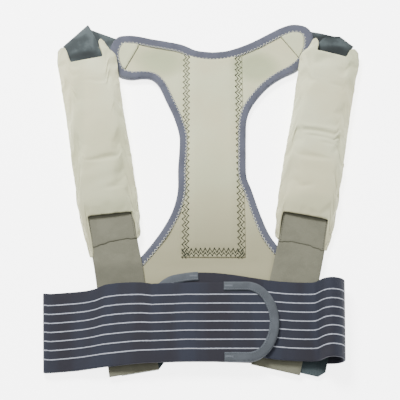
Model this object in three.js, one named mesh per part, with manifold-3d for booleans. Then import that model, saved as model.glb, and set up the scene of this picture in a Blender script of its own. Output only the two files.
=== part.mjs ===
import * as THREE from 'three';
import { mergeVertices } from 'three/addons/utils/BufferGeometryUtils.js';
import Module from 'manifold-3d';

const wasm = await Module();
wasm.setup();

// Driving sizes, in millimetres. X runs across the back from the spine, Y towards the shoulders
// from the middle of the belt, Z up from the surface that the brace lies on.

// Back panel
const lobeReach = 115;
const shoulderHeight = 365;
const waistHalf = 36;
const hipHalf = 95;
const panelThick = 3;
const panelFoot = 14;

// Edge tape
const tapeThick = 0.7;
const tapeWidth = 7.5;

// Stitched spine channel and shoulder facings
const channelTopHalf = 34;
const channelFootHalf = 25;
const channelFootY = 77;
const channelThick = 1.5;
const facingThick = 1.2;

// Shoulder pads
const sleeveLength = 257;
const sleeveWidth = 67;
const sleeveThick = 12;
const sleeveWall = 3;
const sleeveTopY = 337;
const slotHeight = 2.5;
const slotWidth = 53;
const topNotch = 23;
const footNotch = 36;
const footLift = 4.2;

// Straps
const elasticWidth = 39;
const elasticThick = 1.6;
const webbingWidth = 50;
const webbingThick = 1.8;
const webbingOverhang = 7;
const hookLength = 50;
const hookWidth = 26;
const hookThick = 1.5;

// Belt
const beltWidth = 84;
const beltThick = 1.8;
const beltLeft = 172;
const beltRight = 135;
const leftWingTip = 66.5;
const rightWingTip = 72;
const curlHeight = 27;
const curlRun = 29;
const foldHeight = 5.2;
const beltDroop = 9;
const edgeBulge = 4.5;
const rightWingClimb = 11;
const endRound = 31;
const trimWidth = 9;
const trimArm = 24;
const trimThick = 0.8;

// Clearance between pieces that touch
const gap = 0.3;

// How each shoulder strap lies. out is the pad's top from the spine, lean its slope,
// foot and footLean the same for the webbing where it leaves the belt.
const sides = {
  left: { sign: -1, out: 146.8, lean: 0.17, foot: 80.5, footLean: 0.17, hookOut: 73.7 },
  right: { sign: 1, out: 137.4, lean: 0.178, foot: 61.5, footLean: 0.235, hookOut: 86 },
};

// Levels that the pieces lie on
const beltHalf = beltWidth / 2;
const overBelt = beltThick + gap;
const onFloor = tapeThick + gap;
const overElastic = elasticThick + gap + tapeThick + gap;
const overPanel = overBelt + panelThick + gap;
const webbingLevel = overPanel + tapeThick;
const trimDepth = beltThick + 2 * (trimThick + gap);
const overWebbing = webbingLevel + webbingThick + gap;
const rightTrimLevel = overWebbing;
const rightWingLevel = rightTrimLevel + trimThick + gap;
const leftTrimLevel = rightWingLevel + beltThick + gap;
const leftWingLevel = rightTrimLevel + trimDepth + gap;
const leftWingHigh = leftTrimLevel + trimThick + gap;

// Edge of the panel from the neck down to the hip, as shares: across of lobeReach, waistHalf or
// hipHalf, up of shoulderHeight. The left shoulder lies lower than the right one.
const edges = {
  left: {
    neck: [
      { across: 0.0, up: 0.896 }, { across: 0.16, up: 0.903 }, { across: 0.3, up: 0.924 },
      { across: 0.45, up: 0.936 }, { across: 0.61, up: 0.946 }, { across: 0.76, up: 0.957 },
      { across: 0.86, up: 0.959 }, { across: 0.94, up: 0.954 }, { across: 0.995, up: 0.93 },
      { across: 1.02, up: 0.89 }, { across: 0.99, up: 0.845 }, { across: 0.93, up: 0.814 },
      { across: 0.81, up: 0.801 }, { across: 0.68, up: 0.805 }, { across: 0.6, up: 0.801 },
      { across: 0.53, up: 0.781 }, { across: 0.44, up: 0.72 }, { across: 0.365, up: 0.664 },
    ],
    waist: [
      { across: 1.0, up: 0.6 }, { across: 1.0, up: 0.545 }, { across: 1.03, up: 0.49 },
      { across: 1.04, up: 0.41 }, { across: 1.19, up: 0.346 },
    ],
    hip: [{ across: 0.56, up: 0.287 }, { across: 0.71, up: 0.228 }, { across: 0.86, up: 0.178 }],
  },
  right: {
    neck: [
      { across: 0.0, up: 0.896 }, { across: 0.13, up: 0.9 }, { across: 0.26, up: 0.913 },
      { across: 0.41, up: 0.935 }, { across: 0.57, up: 0.965 }, { across: 0.69, up: 0.987 },
      { across: 0.8, up: 1.0 }, { across: 0.9, up: 0.998 }, { across: 0.965, up: 0.987 },
      { across: 1.01, up: 0.957 }, { across: 1.0, up: 0.91 }, { across: 0.94, up: 0.865 },
      { across: 0.82, up: 0.829 }, { across: 0.69, up: 0.807 }, { across: 0.56, up: 0.777 },
      { across: 0.44, up: 0.734 }, { across: 0.36, up: 0.693 },
    ],
    waist: [
      { across: 1.03, up: 0.652 }, { across: 1.0, up: 0.6 }, { across: 0.99, up: 0.545 },
      { across: 1.0, up: 0.457 }, { across: 1.13, up: 0.418 }, { across: 1.38, up: 0.336 },
    ],
    hip: [{ across: 0.62, up: 0.27 }, { across: 0.74, up: 0.222 }, { across: 0.88, up: 0.175 }],
  },
};

// Facing seams: a line across each lobe, as shares of lobeReach and shoulderHeight
const facingSeams = {
  left: [{ across: 0.74, up: 0.92 }, { across: 0.865, up: 0.835 }],
  right: [{ across: 0.69, up: 0.957 }, { across: 0.865, up: 0.878 }],
};

// Cross-section of a pad sleeve: shares of its width and thickness, flat below and crowned above
const sleeveSection = [
  { across: 0.5, up: 0.42 }, { across: 0.487, up: 0.18 }, { across: 0.43, up: 0.03 },
  { across: 0.25, up: 0 }, { across: 0, up: 0 }, { across: -0.25, up: 0 },
  { across: -0.43, up: 0.03 }, { across: -0.487, up: 0.18 }, { across: -0.5, up: 0.42 },
  { across: -0.478, up: 0.68 }, { across: -0.4, up: 0.87 }, { across: -0.22, up: 0.97 },
  { across: 0, up: 1 }, { across: 0.22, up: 0.97 }, { across: 0.4, up: 0.87 },
  { across: 0.478, up: 0.68 },
];

// How a sleeve's width and crown change from its top to its foot, as shares
const sleeveRows = [
  { along: 0, width: 0.97, crown: 0.86 }, { along: 0.09, width: 1.02, crown: 0.97 },
  { along: 0.2, width: 1.0, crown: 1.04 }, { along: 0.4, width: 0.98, crown: 1.08 },
  { along: 0.6, width: 0.99, crown: 1.06 }, { along: 0.76, width: 0.98, crown: 1.02 },
  { along: 0.86, width: 0.96, crown: 0.95 }, { along: 0.93, width: 0.9, crown: 0.82 },
  { along: 1, width: 0.84, crown: 0.76 },
];

// Shoulder elastics in a pad's own directions, from under the lobe, over the fold and into the
// sleeve: in and out edges as shares of elasticWidth (out from the pad's middle, on beyond its top).
// level is 0 on the surface and 1 in the sleeve's slot.
const elasticRows = {
  left: [
    { inOut: -1.72, inOn: -0.33, outOut: -0.92, outOn: -0.93, inLevel: 0, outLevel: 0 },
    { inOut: -1.0, inOn: 0.13, outOut: -0.2, outOn: -0.47, inLevel: 0, outLevel: 0 },
    { inOut: -0.27, inOn: 0.6, outOut: 0.54, outOn: 0.0, inLevel: 0, outLevel: 0 },
    { inOut: -0.2, inOn: 0.65, outOut: 0.605, outOn: 0.05, inLevel: 0.12, outLevel: 0.12 },
    { inOut: -0.175, inOn: 0.675, outOut: 0.63, outOn: 0.075, inLevel: 0.45, outLevel: 0.45 },
    { inOut: -0.195, inOn: 0.645, outOut: 0.615, outOn: 0.055, inLevel: 0.8, outLevel: 0.85 },
    { inOut: -0.24, inOn: 0.5, outOut: 0.59, outOn: 0.0, inLevel: 0.96, outLevel: 1 },
    { inOut: -0.36, inOn: 0.03, outOut: 0.56, outOn: -0.12, inLevel: 1, outLevel: 1 },
    { inOut: -0.47, inOn: -0.53, outOut: 0.53, outOn: -0.45, inLevel: 1, outLevel: 1 },
  ],
  right: [
    { inOut: -1.75, inOn: 0.55, outOut: -1.85, outOn: -0.4, inLevel: 0, outLevel: 0 },
    { inOut: -0.95, inOn: 0.5, outOut: -1.0, outOn: -0.47, inLevel: 0, outLevel: 0 },
    { inOut: -0.45, inOn: 0.46, outOut: -0.2, outOn: -0.45, inLevel: 0, outLevel: 0 },
    { inOut: -0.05, inOn: 0.4, outOut: 0.4, outOn: -0.16, inLevel: 0.2, outLevel: 0 },
    { inOut: 0.16, inOn: 0.35, outOut: 0.61, outOn: 0.06, inLevel: 0.55, outLevel: 0.15 },
    { inOut: 0.2, inOn: 0.31, outOut: 0.64, outOn: 0.085, inLevel: 0.85, outLevel: 0.5 },
    { inOut: 0.14, inOn: 0.27, outOut: 0.62, outOn: 0.06, inLevel: 1.08, outLevel: 0.85 },
    { inOut: -0.05, inOn: 0.22, outOut: 0.59, outOn: 0.01, inLevel: 1.12, outLevel: 1 },
    { inOut: -0.3, inOn: 0.08, outOut: 0.56, outOn: -0.14, inLevel: 1.02, outLevel: 1 },
    { inOut: -0.46, inOn: -0.48, outOut: 0.53, outOn: -0.5, inLevel: 1, outLevel: 1 },
  ],
};

// Colours and finishes
const cloth = { color: 0xcdcfba, roughness: 0.9, metalness: 0 };
const patchCloth = { color: 0xc2c4b3, roughness: 0.9, metalness: 0 };
const tapeCloth = { color: 0x6a6d80, roughness: 0.8, metalness: 0 };
const darkElastic = { color: 0x50565a, roughness: 0.8, metalness: 0 };
const greyWebbing = { color: 0x92917f, roughness: 0.85, metalness: 0 };
const beltElastic = { color: 0x484c58, roughness: 0.8, metalness: 0 };
const trimCloth = { color: 0x616b6f, roughness: 0.8, metalness: 0 };
const hookPlastic = { color: 0x39474c, roughness: 0.5, metalness: 0 };

const group = new THREE.Group();

function addPiece(name, geometry, look) {
  const mesh = new THREE.Mesh(geometry, new THREE.MeshStandardMaterial(look));
  mesh.name = name;
  group.add(mesh);
}

function clamp01(t) {
  return Math.min(1, Math.max(0, t));
}

function ease(t) {
  const c = clamp01(t);
  return c * c * (3 - 2 * c);
}

function mix(a, b, t) {
  return a + (b - a) * t;
}

// Solids from closed meshes, and back again
function toSolid(geometry) {
  const bare = geometry.clone();
  bare.deleteAttribute('normal');
  bare.deleteAttribute('uv');
  const merged = mergeVertices(bare, 1e-4);
  const mesh = new wasm.Mesh({
    numProp: 3,
    vertProperties: new Float32Array(merged.attributes.position.array),
    triVerts: new Uint32Array(merged.index.array),
  });
  return new wasm.Manifold(mesh);
}

function toGeometry(solid) {
  const mesh = solid.getMesh();
  const geometry = new THREE.BufferGeometry();
  geometry.setAttribute('position', new THREE.BufferAttribute(new Float32Array(mesh.vertProperties), 3));
  geometry.setIndex(new THREE.BufferAttribute(new Uint32Array(mesh.triVerts), 1));
  geometry.computeVertexNormals();
  return geometry;
}

function signedVolume(points, index) {
  let sum = 0;
  for (let i = 0; i < index.length; i += 3) {
    const a = points[index[i]];
    const b = points[index[i + 1]];
    const c = points[index[i + 2]];
    sum += a.dot(b.clone().cross(c));
  }
  return sum / 6;
}

// A closed body through rings of points. contour is one ring's flat shape, used for the end caps.
function loft(rings, contour) {
  const size = rings[0].length;
  const points = rings.flat();
  const index = [];
  for (let r = 0; r < rings.length - 1; r += 1) {
    for (let i = 0; i < size; i += 1) {
      const a = r * size + i;
      const b = r * size + ((i + 1) % size);
      index.push(a, b, a + size, b, b + size, a + size);
    }
  }
  const outline = contour.map((p) => new THREE.Vector2(p[0], p[1]));
  const turned = THREE.ShapeUtils.isClockWise(outline);
  const faces = THREE.ShapeUtils.triangulateShape(outline, []);
  const last = (rings.length - 1) * size;
  for (const [a, b, c] of faces) {
    const order = turned ? [a, b, c] : [a, c, b];
    index.push(...order);
    index.push(last + order[0], last + order[2], last + order[1]);
  }
  // The caps follow the walls: a wall edge is shared in the opposite direction by its cap.
  const capStart = index.length - faces.length * 6;
  const firstCap = index.slice(capStart, capStart + 3);
  const next = (firstCap.indexOf(0) + 1) % 3;
  const runsWithWall = firstCap.includes(0) && firstCap[next] === 1;
  if (runsWithWall) {
    for (let i = capStart; i < index.length; i += 3) {
      [index[i + 1], index[i + 2]] = [index[i + 2], index[i + 1]];
    }
  }
  if (signedVolume(points, index) < 0) {
    for (let i = 0; i < index.length; i += 3) {
      [index[i + 1], index[i + 2]] = [index[i + 2], index[i + 1]];
    }
  }
  const geometry = new THREE.BufferGeometry().setFromPoints(points);
  geometry.setIndex(index);
  geometry.computeVertexNormals();
  return geometry;
}

// A strap or band: stations give its two edges, thick is shared to both sides of that line
function band(stations, thick) {
  const rings = stations.map((station, i) => {
    const before = stations[Math.max(0, i - 1)];
    const after = stations[Math.min(stations.length - 1, i + 1)];
    const onward = after.a.clone().add(after.b).sub(before.a).sub(before.b);
    const across = station.b.clone().sub(station.a);
    const half = across.clone().cross(onward).normalize().multiplyScalar(thick / 2);
    return [
      station.a.clone().add(half), station.b.clone().add(half),
      station.b.clone().sub(half), station.a.clone().sub(half),
    ];
  });
  return loft(rings, [[0, 1], [1, 1], [1, 0], [0, 0]]);
}

function flatShape(points, low, high) {
  const shape = new THREE.Shape(points.map((p) => new THREE.Vector2(p.x, p.y)));
  const geometry = new THREE.ExtrudeGeometry(shape, { depth: high - low, bevelEnabled: false });
  geometry.translate(0, 0, low);
  return toSolid(geometry);
}

// Height of the panel's underside: over the belt, down to the surface, up over the elastics
const panelKnots = [{ y: -panelFoot - 10, level: overBelt }];
for (const share of [0, 0.25, 0.5, 0.75, 1]) {
  panelKnots.push({ y: beltHalf + 2 + 24 * share, level: mix(overBelt, onFloor, ease(share)) });
}
for (const share of [0, 0.2, 0.4, 0.6, 0.8, 1]) {
  const y = mix(0.66, 0.8, share) * shoulderHeight;
  panelKnots.push({ y, level: mix(onFloor, overElastic, ease(share)) });
}
panelKnots.push({ y: shoulderHeight * 1.1, level: overElastic });

function panelLevel(y) {
  const after = Math.max(1, panelKnots.findIndex((knot) => knot.y >= y));
  const from = panelKnots[after - 1];
  const to = panelKnots[after];
  return mix(from.level, to.level, (y - from.y) / (to.y - from.y));
}

// A wide layer that follows the panel, from low to high above its underside
function panelLayer(low, high) {
  const ring = [
    ...panelKnots.map((knot) => [knot.y, knot.level + low]),
    ...panelKnots.slice().reverse().map((knot) => [knot.y, knot.level + high]),
  ];
  const shape = new THREE.Shape(ring.map((p) => new THREE.Vector2(p[0], p[1])));
  const wide = lobeReach * 1.3 + hipHalf * 0.3;
  const geometry = new THREE.ExtrudeGeometry(shape, { depth: 2 * wide, bevelEnabled: false });
  geometry.applyMatrix4(new THREE.Matrix4().makeBasis(
    new THREE.Vector3(0, 1, 0), new THREE.Vector3(0, 0, 1), new THREE.Vector3(1, 0, 0),
  ));
  geometry.translate(-wide, 0, 0);
  return toSolid(geometry);
}

// One side's edge from the middle of the neck to the belt
function sideEdge(side) {
  const { neck, waist, hip } = edges[side];
  const { sign } = sides[side];
  const rows = [
    ...neck.map((row) => [row.across * lobeReach, row.up]),
    ...waist.map((row) => [row.across * waistHalf, row.up]),
    ...hip.map((row) => [row.across * hipHalf, row.up]),
  ];
  const knots = rows.map(([x, up]) => new THREE.Vector2(sign * x, up * shoulderHeight));
  knots.push(new THREE.Vector2(sign * hipHalf, beltHalf + 4));
  return new THREE.SplineCurve(knots).getSpacedPoints(58);
}

function inwardNormals(points) {
  return points.map((p, i) => {
    const before = points[Math.max(0, i - 1)];
    const after = points[Math.min(points.length - 1, i + 1)];
    const along = after.clone().sub(before).normalize();
    return new THREE.Vector2(along.y, -along.x);
  });
}

const leftEdge = sideEdge('left');
const rightEdge = sideEdge('right');
const openEdge = [...rightEdge.slice().reverse(), ...leftEdge.slice(1)];
const openInward = inwardNormals(openEdge).map((n) => n.negate());
const footCorners = [new THREE.Vector2(-hipHalf, -panelFoot), new THREE.Vector2(hipHalf, -panelFoot)];

function insetEdge(distance) {
  return openEdge.map((p, i) => p.clone().addScaledVector(openInward[i], distance));
}

function makePanel() {
  const plan = flatShape([...openEdge, ...footCorners], -5, 30);
  addPiece('back_panel', toGeometry(plan.intersect(panelLayer(0, panelThick))), cloth);
}

// Edge tape: a folded strip swept along part of the edge
function makeTape(name, from, to) {
  const inner = gap;
  const outer = gap + tapeThick;
  const low = (level) => level - gap;
  const rings = [];
  const shareOf = [
    [outer, -1, tapeThick], [outer, 1, tapeThick], [-tapeWidth, 1, tapeThick], [-tapeWidth, 1, 0],
    [inner, 1, 0], [inner, -1, 0], [-tapeWidth, -1, 0], [-tapeWidth, -1, tapeThick],
  ];
  for (let i = from; i <= to; i += 1) {
    const level = panelLevel(openEdge[i].y);
    rings.push(shareOf.map(([out, up, skin]) => {
      const spot = openEdge[i].clone().addScaledVector(openInward[i], -out);
      const z = up > 0 ? level + panelThick + gap + skin : low(level) - skin;
      return new THREE.Vector3(spot.x, spot.y, z);
    }));
  }
  const flat = shareOf.map(([out, up, skin]) => [out, up * (5 + skin)]);
  addPiece(name, loft(rings, flat), tapeCloth);
}

function makeTapes() {
  const middle = rightEdge.length - 1;
  const tipCount = 27;
  makeTape('armhole_binding_right', 1, middle - tipCount - 1);
  makeTape('neck_binding', middle - tipCount, middle + tipCount);
  makeTape('armhole_binding_left', middle + tipCount + 1, openEdge.length - 2);
}

function makeFacings() {
  const inside = insetEdge(tapeWidth + gap);
  const field = flatShape([...inside, ...footCorners], -5, 30);
  const channelPlan = flatShape([
    new THREE.Vector2(-channelFootHalf, channelFootY), new THREE.Vector2(channelFootHalf, channelFootY),
    new THREE.Vector2(channelTopHalf, shoulderHeight), new THREE.Vector2(-channelTopHalf, shoulderHeight),
  ], -5, 30);
  const over = panelThick + gap;
  const channel = channelPlan.intersect(field).intersect(panelLayer(over, over + channelThick));
  addPiece('spine_channel', toGeometry(channel), cloth);
  for (const side of ['left', 'right']) {
    const { sign } = sides[side];
    const [top, foot] = facingSeams[side].map((row) => new THREE.Vector2(
      sign * row.across * lobeReach, row.up * shoulderHeight,
    ));
    const run = foot.clone().sub(top);
    const high = top.clone().addScaledVector(run, -1);
    const low = foot.clone().addScaledVector(run, 1);
    const away = new THREE.Vector2(sign * lobeReach, 0);
    const plan = [high, low, low.clone().add(away), high.clone().add(away)];
    if (sign > 0) plan.reverse();
    const patch = flatShape(plan, -5, 30).intersect(field);
    const layer = patch.intersect(panelLayer(over, over + facingThick));
    addPiece(`shoulder_patch_${side}`, toGeometry(layer), patchCloth);
  }
}

// A pad's own directions: out from its middle, on beyond its top end, and the level of its base.
// The inner side of its top end rides on the lobe, the rest on the surface.
function padFrame(side) {
  const { sign, out, lean } = sides[side];
  const length = Math.hypot(1, lean);
  const on = new THREE.Vector2((sign * lean) / length, 1 / length);
  const outward = new THREE.Vector2(sign * on.y, -sign * on.x);
  const top = new THREE.Vector2(sign * out, sleeveTopY);
  const overLobe = overElastic + panelThick + gap + tapeThick + gap;
  const underside = elasticThick + gap + 0.2;
  const base = (outDistance, onDistance) => {
    const inner = 0.5 - outDistance / sleeveWidth;
    const down = -onDistance / sleeveLength;
    const high = mix(underside, overLobe + 1.6, clamp01(inner));
    return high * (1 - ease((down - 0.24) / 0.5)) + footLift * clamp01(inner) * ease((down - 0.78) / 0.22);
  };
  const spot = (outDistance, onDistance, z) => {
    const p = top.clone().addScaledVector(outward, outDistance).addScaledVector(on, onDistance);
    return new THREE.Vector3(p.x, p.y, z);
  };
  return { base, spot };
}

const slotMiddle = sleeveWall + slotHeight / 2;

// Where the elastic lies straight in its sleeve and where it ends there, as shares of its width
const elasticIn = -1.4;
const elasticEnd = -3.4;

function makeSleeve(side) {
  const { base, spot } = padFrame(side);
  const outer = sleeveRows.map((row) => sleeveSection.map((p) => {
    const out = p.across * sleeveWidth * row.width;
    const on = -row.along * sleeveLength;
    return spot(out, on, base(out, on) + p.up * sleeveThick * row.crown);
  }));
  const body = toSolid(loft(outer, sleeveSection.map((p) => [p.across, p.up])));
  const slotShape = [[-0.5, 0], [0, 0], [0.5, 0], [0.5, 1], [0, 1], [-0.5, 1]];
  const cut = (fromOn, toOn, width, low, high) => {
    const rings = [];
    const steps = 20;
    for (let i = 0; i <= steps; i += 1) {
      const on = mix(fromOn, toOn, i / steps);
      rings.push(slotShape.map(([across, up]) => {
        const out = across * width;
        return spot(out, on, base(out, on) + mix(low, high, up));
      }));
    }
    return toSolid(loft(rings, slotShape));
  };
  const slotTop = sleeveWall + slotHeight;
  const past = 5;
  const slot = cut(past, -sleeveLength - past, slotWidth, sleeveWall, slotTop);
  const above = sleeveThick * 2;
  const topWidth = elasticWidth + 2;
  const topCut = cut(past, -topNotch, topWidth, slotTop - 0.5, above);
  const footCut = cut(-sleeveLength + footNotch, -sleeveLength - past, slotWidth - 1, slotTop - 0.5, above);
  addPiece(`pad_sleeve_${side}`, toGeometry(body.subtract(slot).subtract(topCut).subtract(footCut)), cloth);
}

function makeElastic(side) {
  const { base, spot } = padFrame(side);
  const floor = elasticThick / 2;
  const edgePoint = (outShare, onShare, level) => {
    const out = outShare * elasticWidth;
    const on = onShare * elasticWidth;
    return spot(out, on, mix(floor, base(out, on) + slotMiddle, level));
  };
  const stations = elasticRows[side].map((row) => ({
    a: edgePoint(row.inOut, row.inOn, row.inLevel),
    b: edgePoint(row.outOut, row.outOn, row.outLevel),
  }));
  for (let i = 0; i <= 6; i += 1) {
    const onShare = mix(elasticIn, elasticEnd, i / 6);
    stations.push({ a: edgePoint(-0.5, onShare, 1), b: edgePoint(0.5, onShare, 1) });
  }
  addPiece(`shoulder_elastic_${side}`, band(stations, elasticThick), darkElastic);
}

// Webbing: from the middle of the sleeve, out of its foot, over the hip and under the wings
function makeWebbing(side) {
  const { sign, foot, footLean } = sides[side];
  const { base, spot } = padFrame(side);
  const half = webbingWidth / 2;
  const stations = [];
  const startOn = elasticEnd * elasticWidth - 1;
  for (let i = 0; i <= 12; i += 1) {
    const on = mix(startOn, -sleeveLength, i / 12);
    stations.push({
      a: spot(-half, on, base(-half, on) + slotMiddle), b: spot(half, on, base(half, on) + slotMiddle),
    });
  }
  const turn = Math.atan(footLean);
  const footMiddle = new THREE.Vector2(sign * foot, -beltHalf - webbingOverhang);
  const footOn = new THREE.Vector2(sign * Math.sin(turn), Math.cos(turn));
  const footOut = new THREE.Vector2(sign * footOn.y, -sign * footOn.x);
  const low = overBelt + hookThick + gap + webbingThick / 2;
  const high = webbingLevel + webbingThick / 2;
  const climbs = [
    { y: 64, z: high }, { y: beltHalf - 4, z: high }, { y: 0, z: high }, { y: -panelFoot - 7, z: high },
    { y: -panelFoot - 18, z: low }, { y: -beltHalf - webbingOverhang, z: low },
  ];
  for (const climb of climbs) {
    const on = (climb.y - footMiddle.y) / footOn.y;
    const middle = footMiddle.clone().addScaledVector(footOn, on);
    const a = middle.clone().addScaledVector(footOut, -half);
    const b = middle.clone().addScaledVector(footOut, half);
    stations.push({ a: new THREE.Vector3(a.x, a.y, climb.z), b: new THREE.Vector3(b.x, b.y, climb.z) });
  }
  addPiece(`webbing_${side}`, band(stations, webbingThick), greyWebbing);
}

// Hook tab under the foot of the webbing, its outer lower corners cut off
function makeHook(side) {
  const { sign, footLean, hookOut } = sides[side];
  const corner = hookWidth * 0.25;
  const half = hookLength / 2;
  const shape = new THREE.Shape([
    new THREE.Vector2(-half, hookWidth), new THREE.Vector2(-half, corner),
    new THREE.Vector2(-half + corner, 0), new THREE.Vector2(half - corner, 0),
    new THREE.Vector2(half, corner), new THREE.Vector2(half, hookWidth),
  ]);
  const geometry = new THREE.ExtrudeGeometry(shape, { depth: hookThick, bevelEnabled: false });
  geometry.rotateZ(-sign * Math.atan(footLean));
  geometry.translate(sign * hookOut, -beltHalf - webbingOverhang - 3, overBelt);
  addPiece(`hook_tab_${side}`, toGeometry(toSolid(geometry)), hookPlastic);
}

// The belt's run seen along Y: x, level of its middle, and how far the wing has shifted up the back
function droop(x) {
  return -beltDroop * ease((-x - 20) / (beltLeft * 1.15)) * 1.3;
}

function climb(x) {
  return rightWingClimb * ease((beltRight - curlRun - 20 - x) / 95);
}

function beltStations() {
  const mid = beltThick / 2;
  const stations = [];
  const put = (x, z, shift, half, more = 0) => {
    stations.push({ a: new THREE.Vector3(x, shift - half, z), b: new THREE.Vector3(x, shift + half + more, z) });
  };
  const endHalf = (x, tip, sign) => {
    const into = clamp01(((tip - x) * sign) / endRound);
    return beltHalf * Math.sqrt(Math.max(0.004, 1 - (1 - into) ** 2));
  };
  const roundSteps = [0.01, 0.06, 0.14, 0.25, 0.4, 0.6, 0.8, 1];
  // Left wing, from its rounded end back to the fold
  for (const share of roundSteps) {
    const x = leftWingTip - trimThick - gap - share * endRound;
    put(x, leftWingHigh + mid, 0, endHalf(x, leftWingTip - trimThick - gap, 1));
  }
  const wing = [
    { share: -0.05, z: leftWingHigh, bulge: 0 }, { share: 0.15, z: leftWingLevel, bulge: 0 },
    { share: 0.37, z: leftWingLevel, bulge: 0 }, { share: 0.43, z: leftWingLevel, bulge: 0.5 },
    { share: 0.5, z: mix(overWebbing, leftWingLevel, 0.75), bulge: 0.8 },
    { share: 0.58, z: mix(overWebbing, leftWingLevel, 0.4), bulge: 1 },
    { share: 0.65, z: mix(overWebbing, leftWingLevel, 0.2), bulge: 0.9 },
    { share: 0.705, z: overWebbing, bulge: 0.2 }, { share: 0.75, z: mix(foldHeight, overWebbing, 0.55), bulge: 0 },
    { share: 0.8, z: mix(foldHeight, overWebbing, 0.15), bulge: 0 }, { share: 0.86, z: foldHeight, bulge: 0 },
    { share: 0.96, z: foldHeight * 0.98, bulge: 0 },
  ];
  for (const row of wing) {
    const x = -row.share * beltLeft;
    put(x, row.z + mid, droop(x), beltHalf, row.bulge * edgeBulge);
  }
  const radius = (foldHeight * 0.98) / 2;
  for (const turn of [0.25, 0.5, 0.75]) {
    const x = -beltLeft + mid + radius - radius * Math.sin(turn * Math.PI);
    put(x, mid + radius * (1 + Math.cos(turn * Math.PI)), droop(x), beltHalf);
  }
  // Back stretch
  for (const share of [-0.96, -0.8, -0.6, -0.4, -0.2, 0, 0.5]) {
    const x = share < 0 ? share * beltLeft : share * beltRight;
    put(x, mid, droop(x), beltHalf);
  }
  // Open curl at the right, as shares of its run and height
  const curl = [
    { run: 0.45, up: 0 }, { run: 0.72, up: 0.03 }, { run: 0.88, up: 0.12 }, { run: 0.97, up: 0.27 },
    { run: 1.0, up: 0.45 }, { run: 0.98, up: 0.64 }, { run: 0.87, up: 0.84 }, { run: 0.7, up: 0.96 },
    { run: 0.52, up: 1 }, { run: 0.35, up: 0.94 }, { run: 0.22, up: 0.8 }, { run: 0.12, up: 0.62 },
    { run: 0.03, up: 0.46 }, { run: -0.08, up: 0.38 },
  ];
  const curlFoot = beltRight - mid - curlRun;
  const curlFlat = rightWingLevel / (curlHeight - beltThick);
  for (const row of curl) {
    const up = row.run < 0 ? curlFlat : Math.max(row.up, row.run < 0.1 ? curlFlat + 0.04 : 0);
    put(curlFoot + row.run * curlRun, mid + up * (curlHeight - beltThick), 0, beltHalf);
  }
  // Right wing, to its rounded end
  const rightTip = -rightWingTip + trimThick + gap;
  for (const share of [0.8, 0.6, 0.4, 0.2, 0, -0.2]) {
    const x = share * curlFoot;
    put(x, rightWingLevel + mid, climb(x), beltHalf);
  }
  for (const share of roundSteps.slice().reverse()) {
    const x = rightTip + share * endRound;
    put(x, rightWingLevel + mid, climb(x), endHalf(x, rightTip, -1));
  }
  return stations;
}

// Grey tape round a wing's rounded end, open inside for the wing's edge
function makeTrim(name, tip, sign, level, shiftAt) {
  const outline = (inset) => {
    const points = [];
    const rx = endRound + trimThick + gap - inset;
    const ry = beltHalf + trimThick + gap - inset;
    const middle = tip - sign * (endRound + trimThick + gap);
    const armEnd = middle - sign * trimArm;
    points.push([armEnd, ry]);
    for (let i = 0; i <= 22; i += 1) {
      const turn = Math.PI / 2 - (i / 22) * Math.PI;
      points.push([middle + sign * rx * Math.cos(turn), ry * Math.sin(turn)]);
    }
    points.push([armEnd, -ry]);
    return points.map(([x, y]) => new THREE.Vector2(x, y + shiftAt(x)));
  };
  const outer = outline(0);
  const inner = outline(trimWidth);
  const ring = [...outer, ...inner.reverse()];
  if (sign < 0) ring.reverse();
  const plate = flatShape(ring, level, level + trimDepth);
  const hollowPoints = outline(trimThick);
  if (sign < 0) hollowPoints.reverse();
  const hollow = flatShape(hollowPoints, level + trimThick, level + trimThick + 2 * gap + beltThick);
  addPiece(name, toGeometry(plate.subtract(hollow)), trimCloth);
}

makePanel();
makeTapes();
makeFacings();
for (const side of ['left', 'right']) {
  makeElastic(side);
  makeSleeve(side);
  makeWebbing(side);
  makeHook(side);
}
addPiece('waist_belt', band(beltStations(), beltThick), beltElastic);
makeTrim('belt_trim_left', leftWingTip, 1, leftTrimLevel, droop);
makeTrim('belt_trim_right', -rightWingTip, -1, rightTrimLevel, climb);

// The assembly is centred over the origin
const bounds = new THREE.Box3().setFromObject(group, true);
const centre = bounds.getCenter(new THREE.Vector3());
group.position.set(-centre.x, -centre.y, -bounds.min.z);

export default group;
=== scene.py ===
"""A posture corrector lying closed, seen from above its belt: its cloth, straps, stitches and stage.

Lengths in the tables are millimetres in the brace's own directions: x across the back from the
spine, y up the back from the middle of the belt, z up from the surface that it lies on.
"""

import math
from collections import Counter

import bmesh
import bpy
from bpy.props import FloatProperty, FloatVectorProperty, PointerProperty
from bpy.types import Operator, Panel, PropertyGroup
from mathutils import Matrix, Vector, noise


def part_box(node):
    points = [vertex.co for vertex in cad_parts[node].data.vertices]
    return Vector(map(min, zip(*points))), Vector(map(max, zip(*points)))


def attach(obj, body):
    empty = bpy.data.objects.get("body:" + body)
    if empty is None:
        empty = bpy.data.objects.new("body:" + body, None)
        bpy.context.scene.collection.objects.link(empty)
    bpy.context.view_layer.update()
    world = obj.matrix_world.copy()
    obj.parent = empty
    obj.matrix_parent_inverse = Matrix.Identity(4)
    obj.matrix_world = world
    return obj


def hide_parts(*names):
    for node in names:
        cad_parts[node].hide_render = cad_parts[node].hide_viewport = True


bl_info = {
    "name": "Posture corrector",
    "version": (1, 0, 0),
    "blender": (4, 5, 0),
    "location": "3D View > Sidebar > Brace",
    "description": "Builds the cloth, straps and stitching of a posture corrector around its solids",
    "category": "Object",
}

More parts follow.
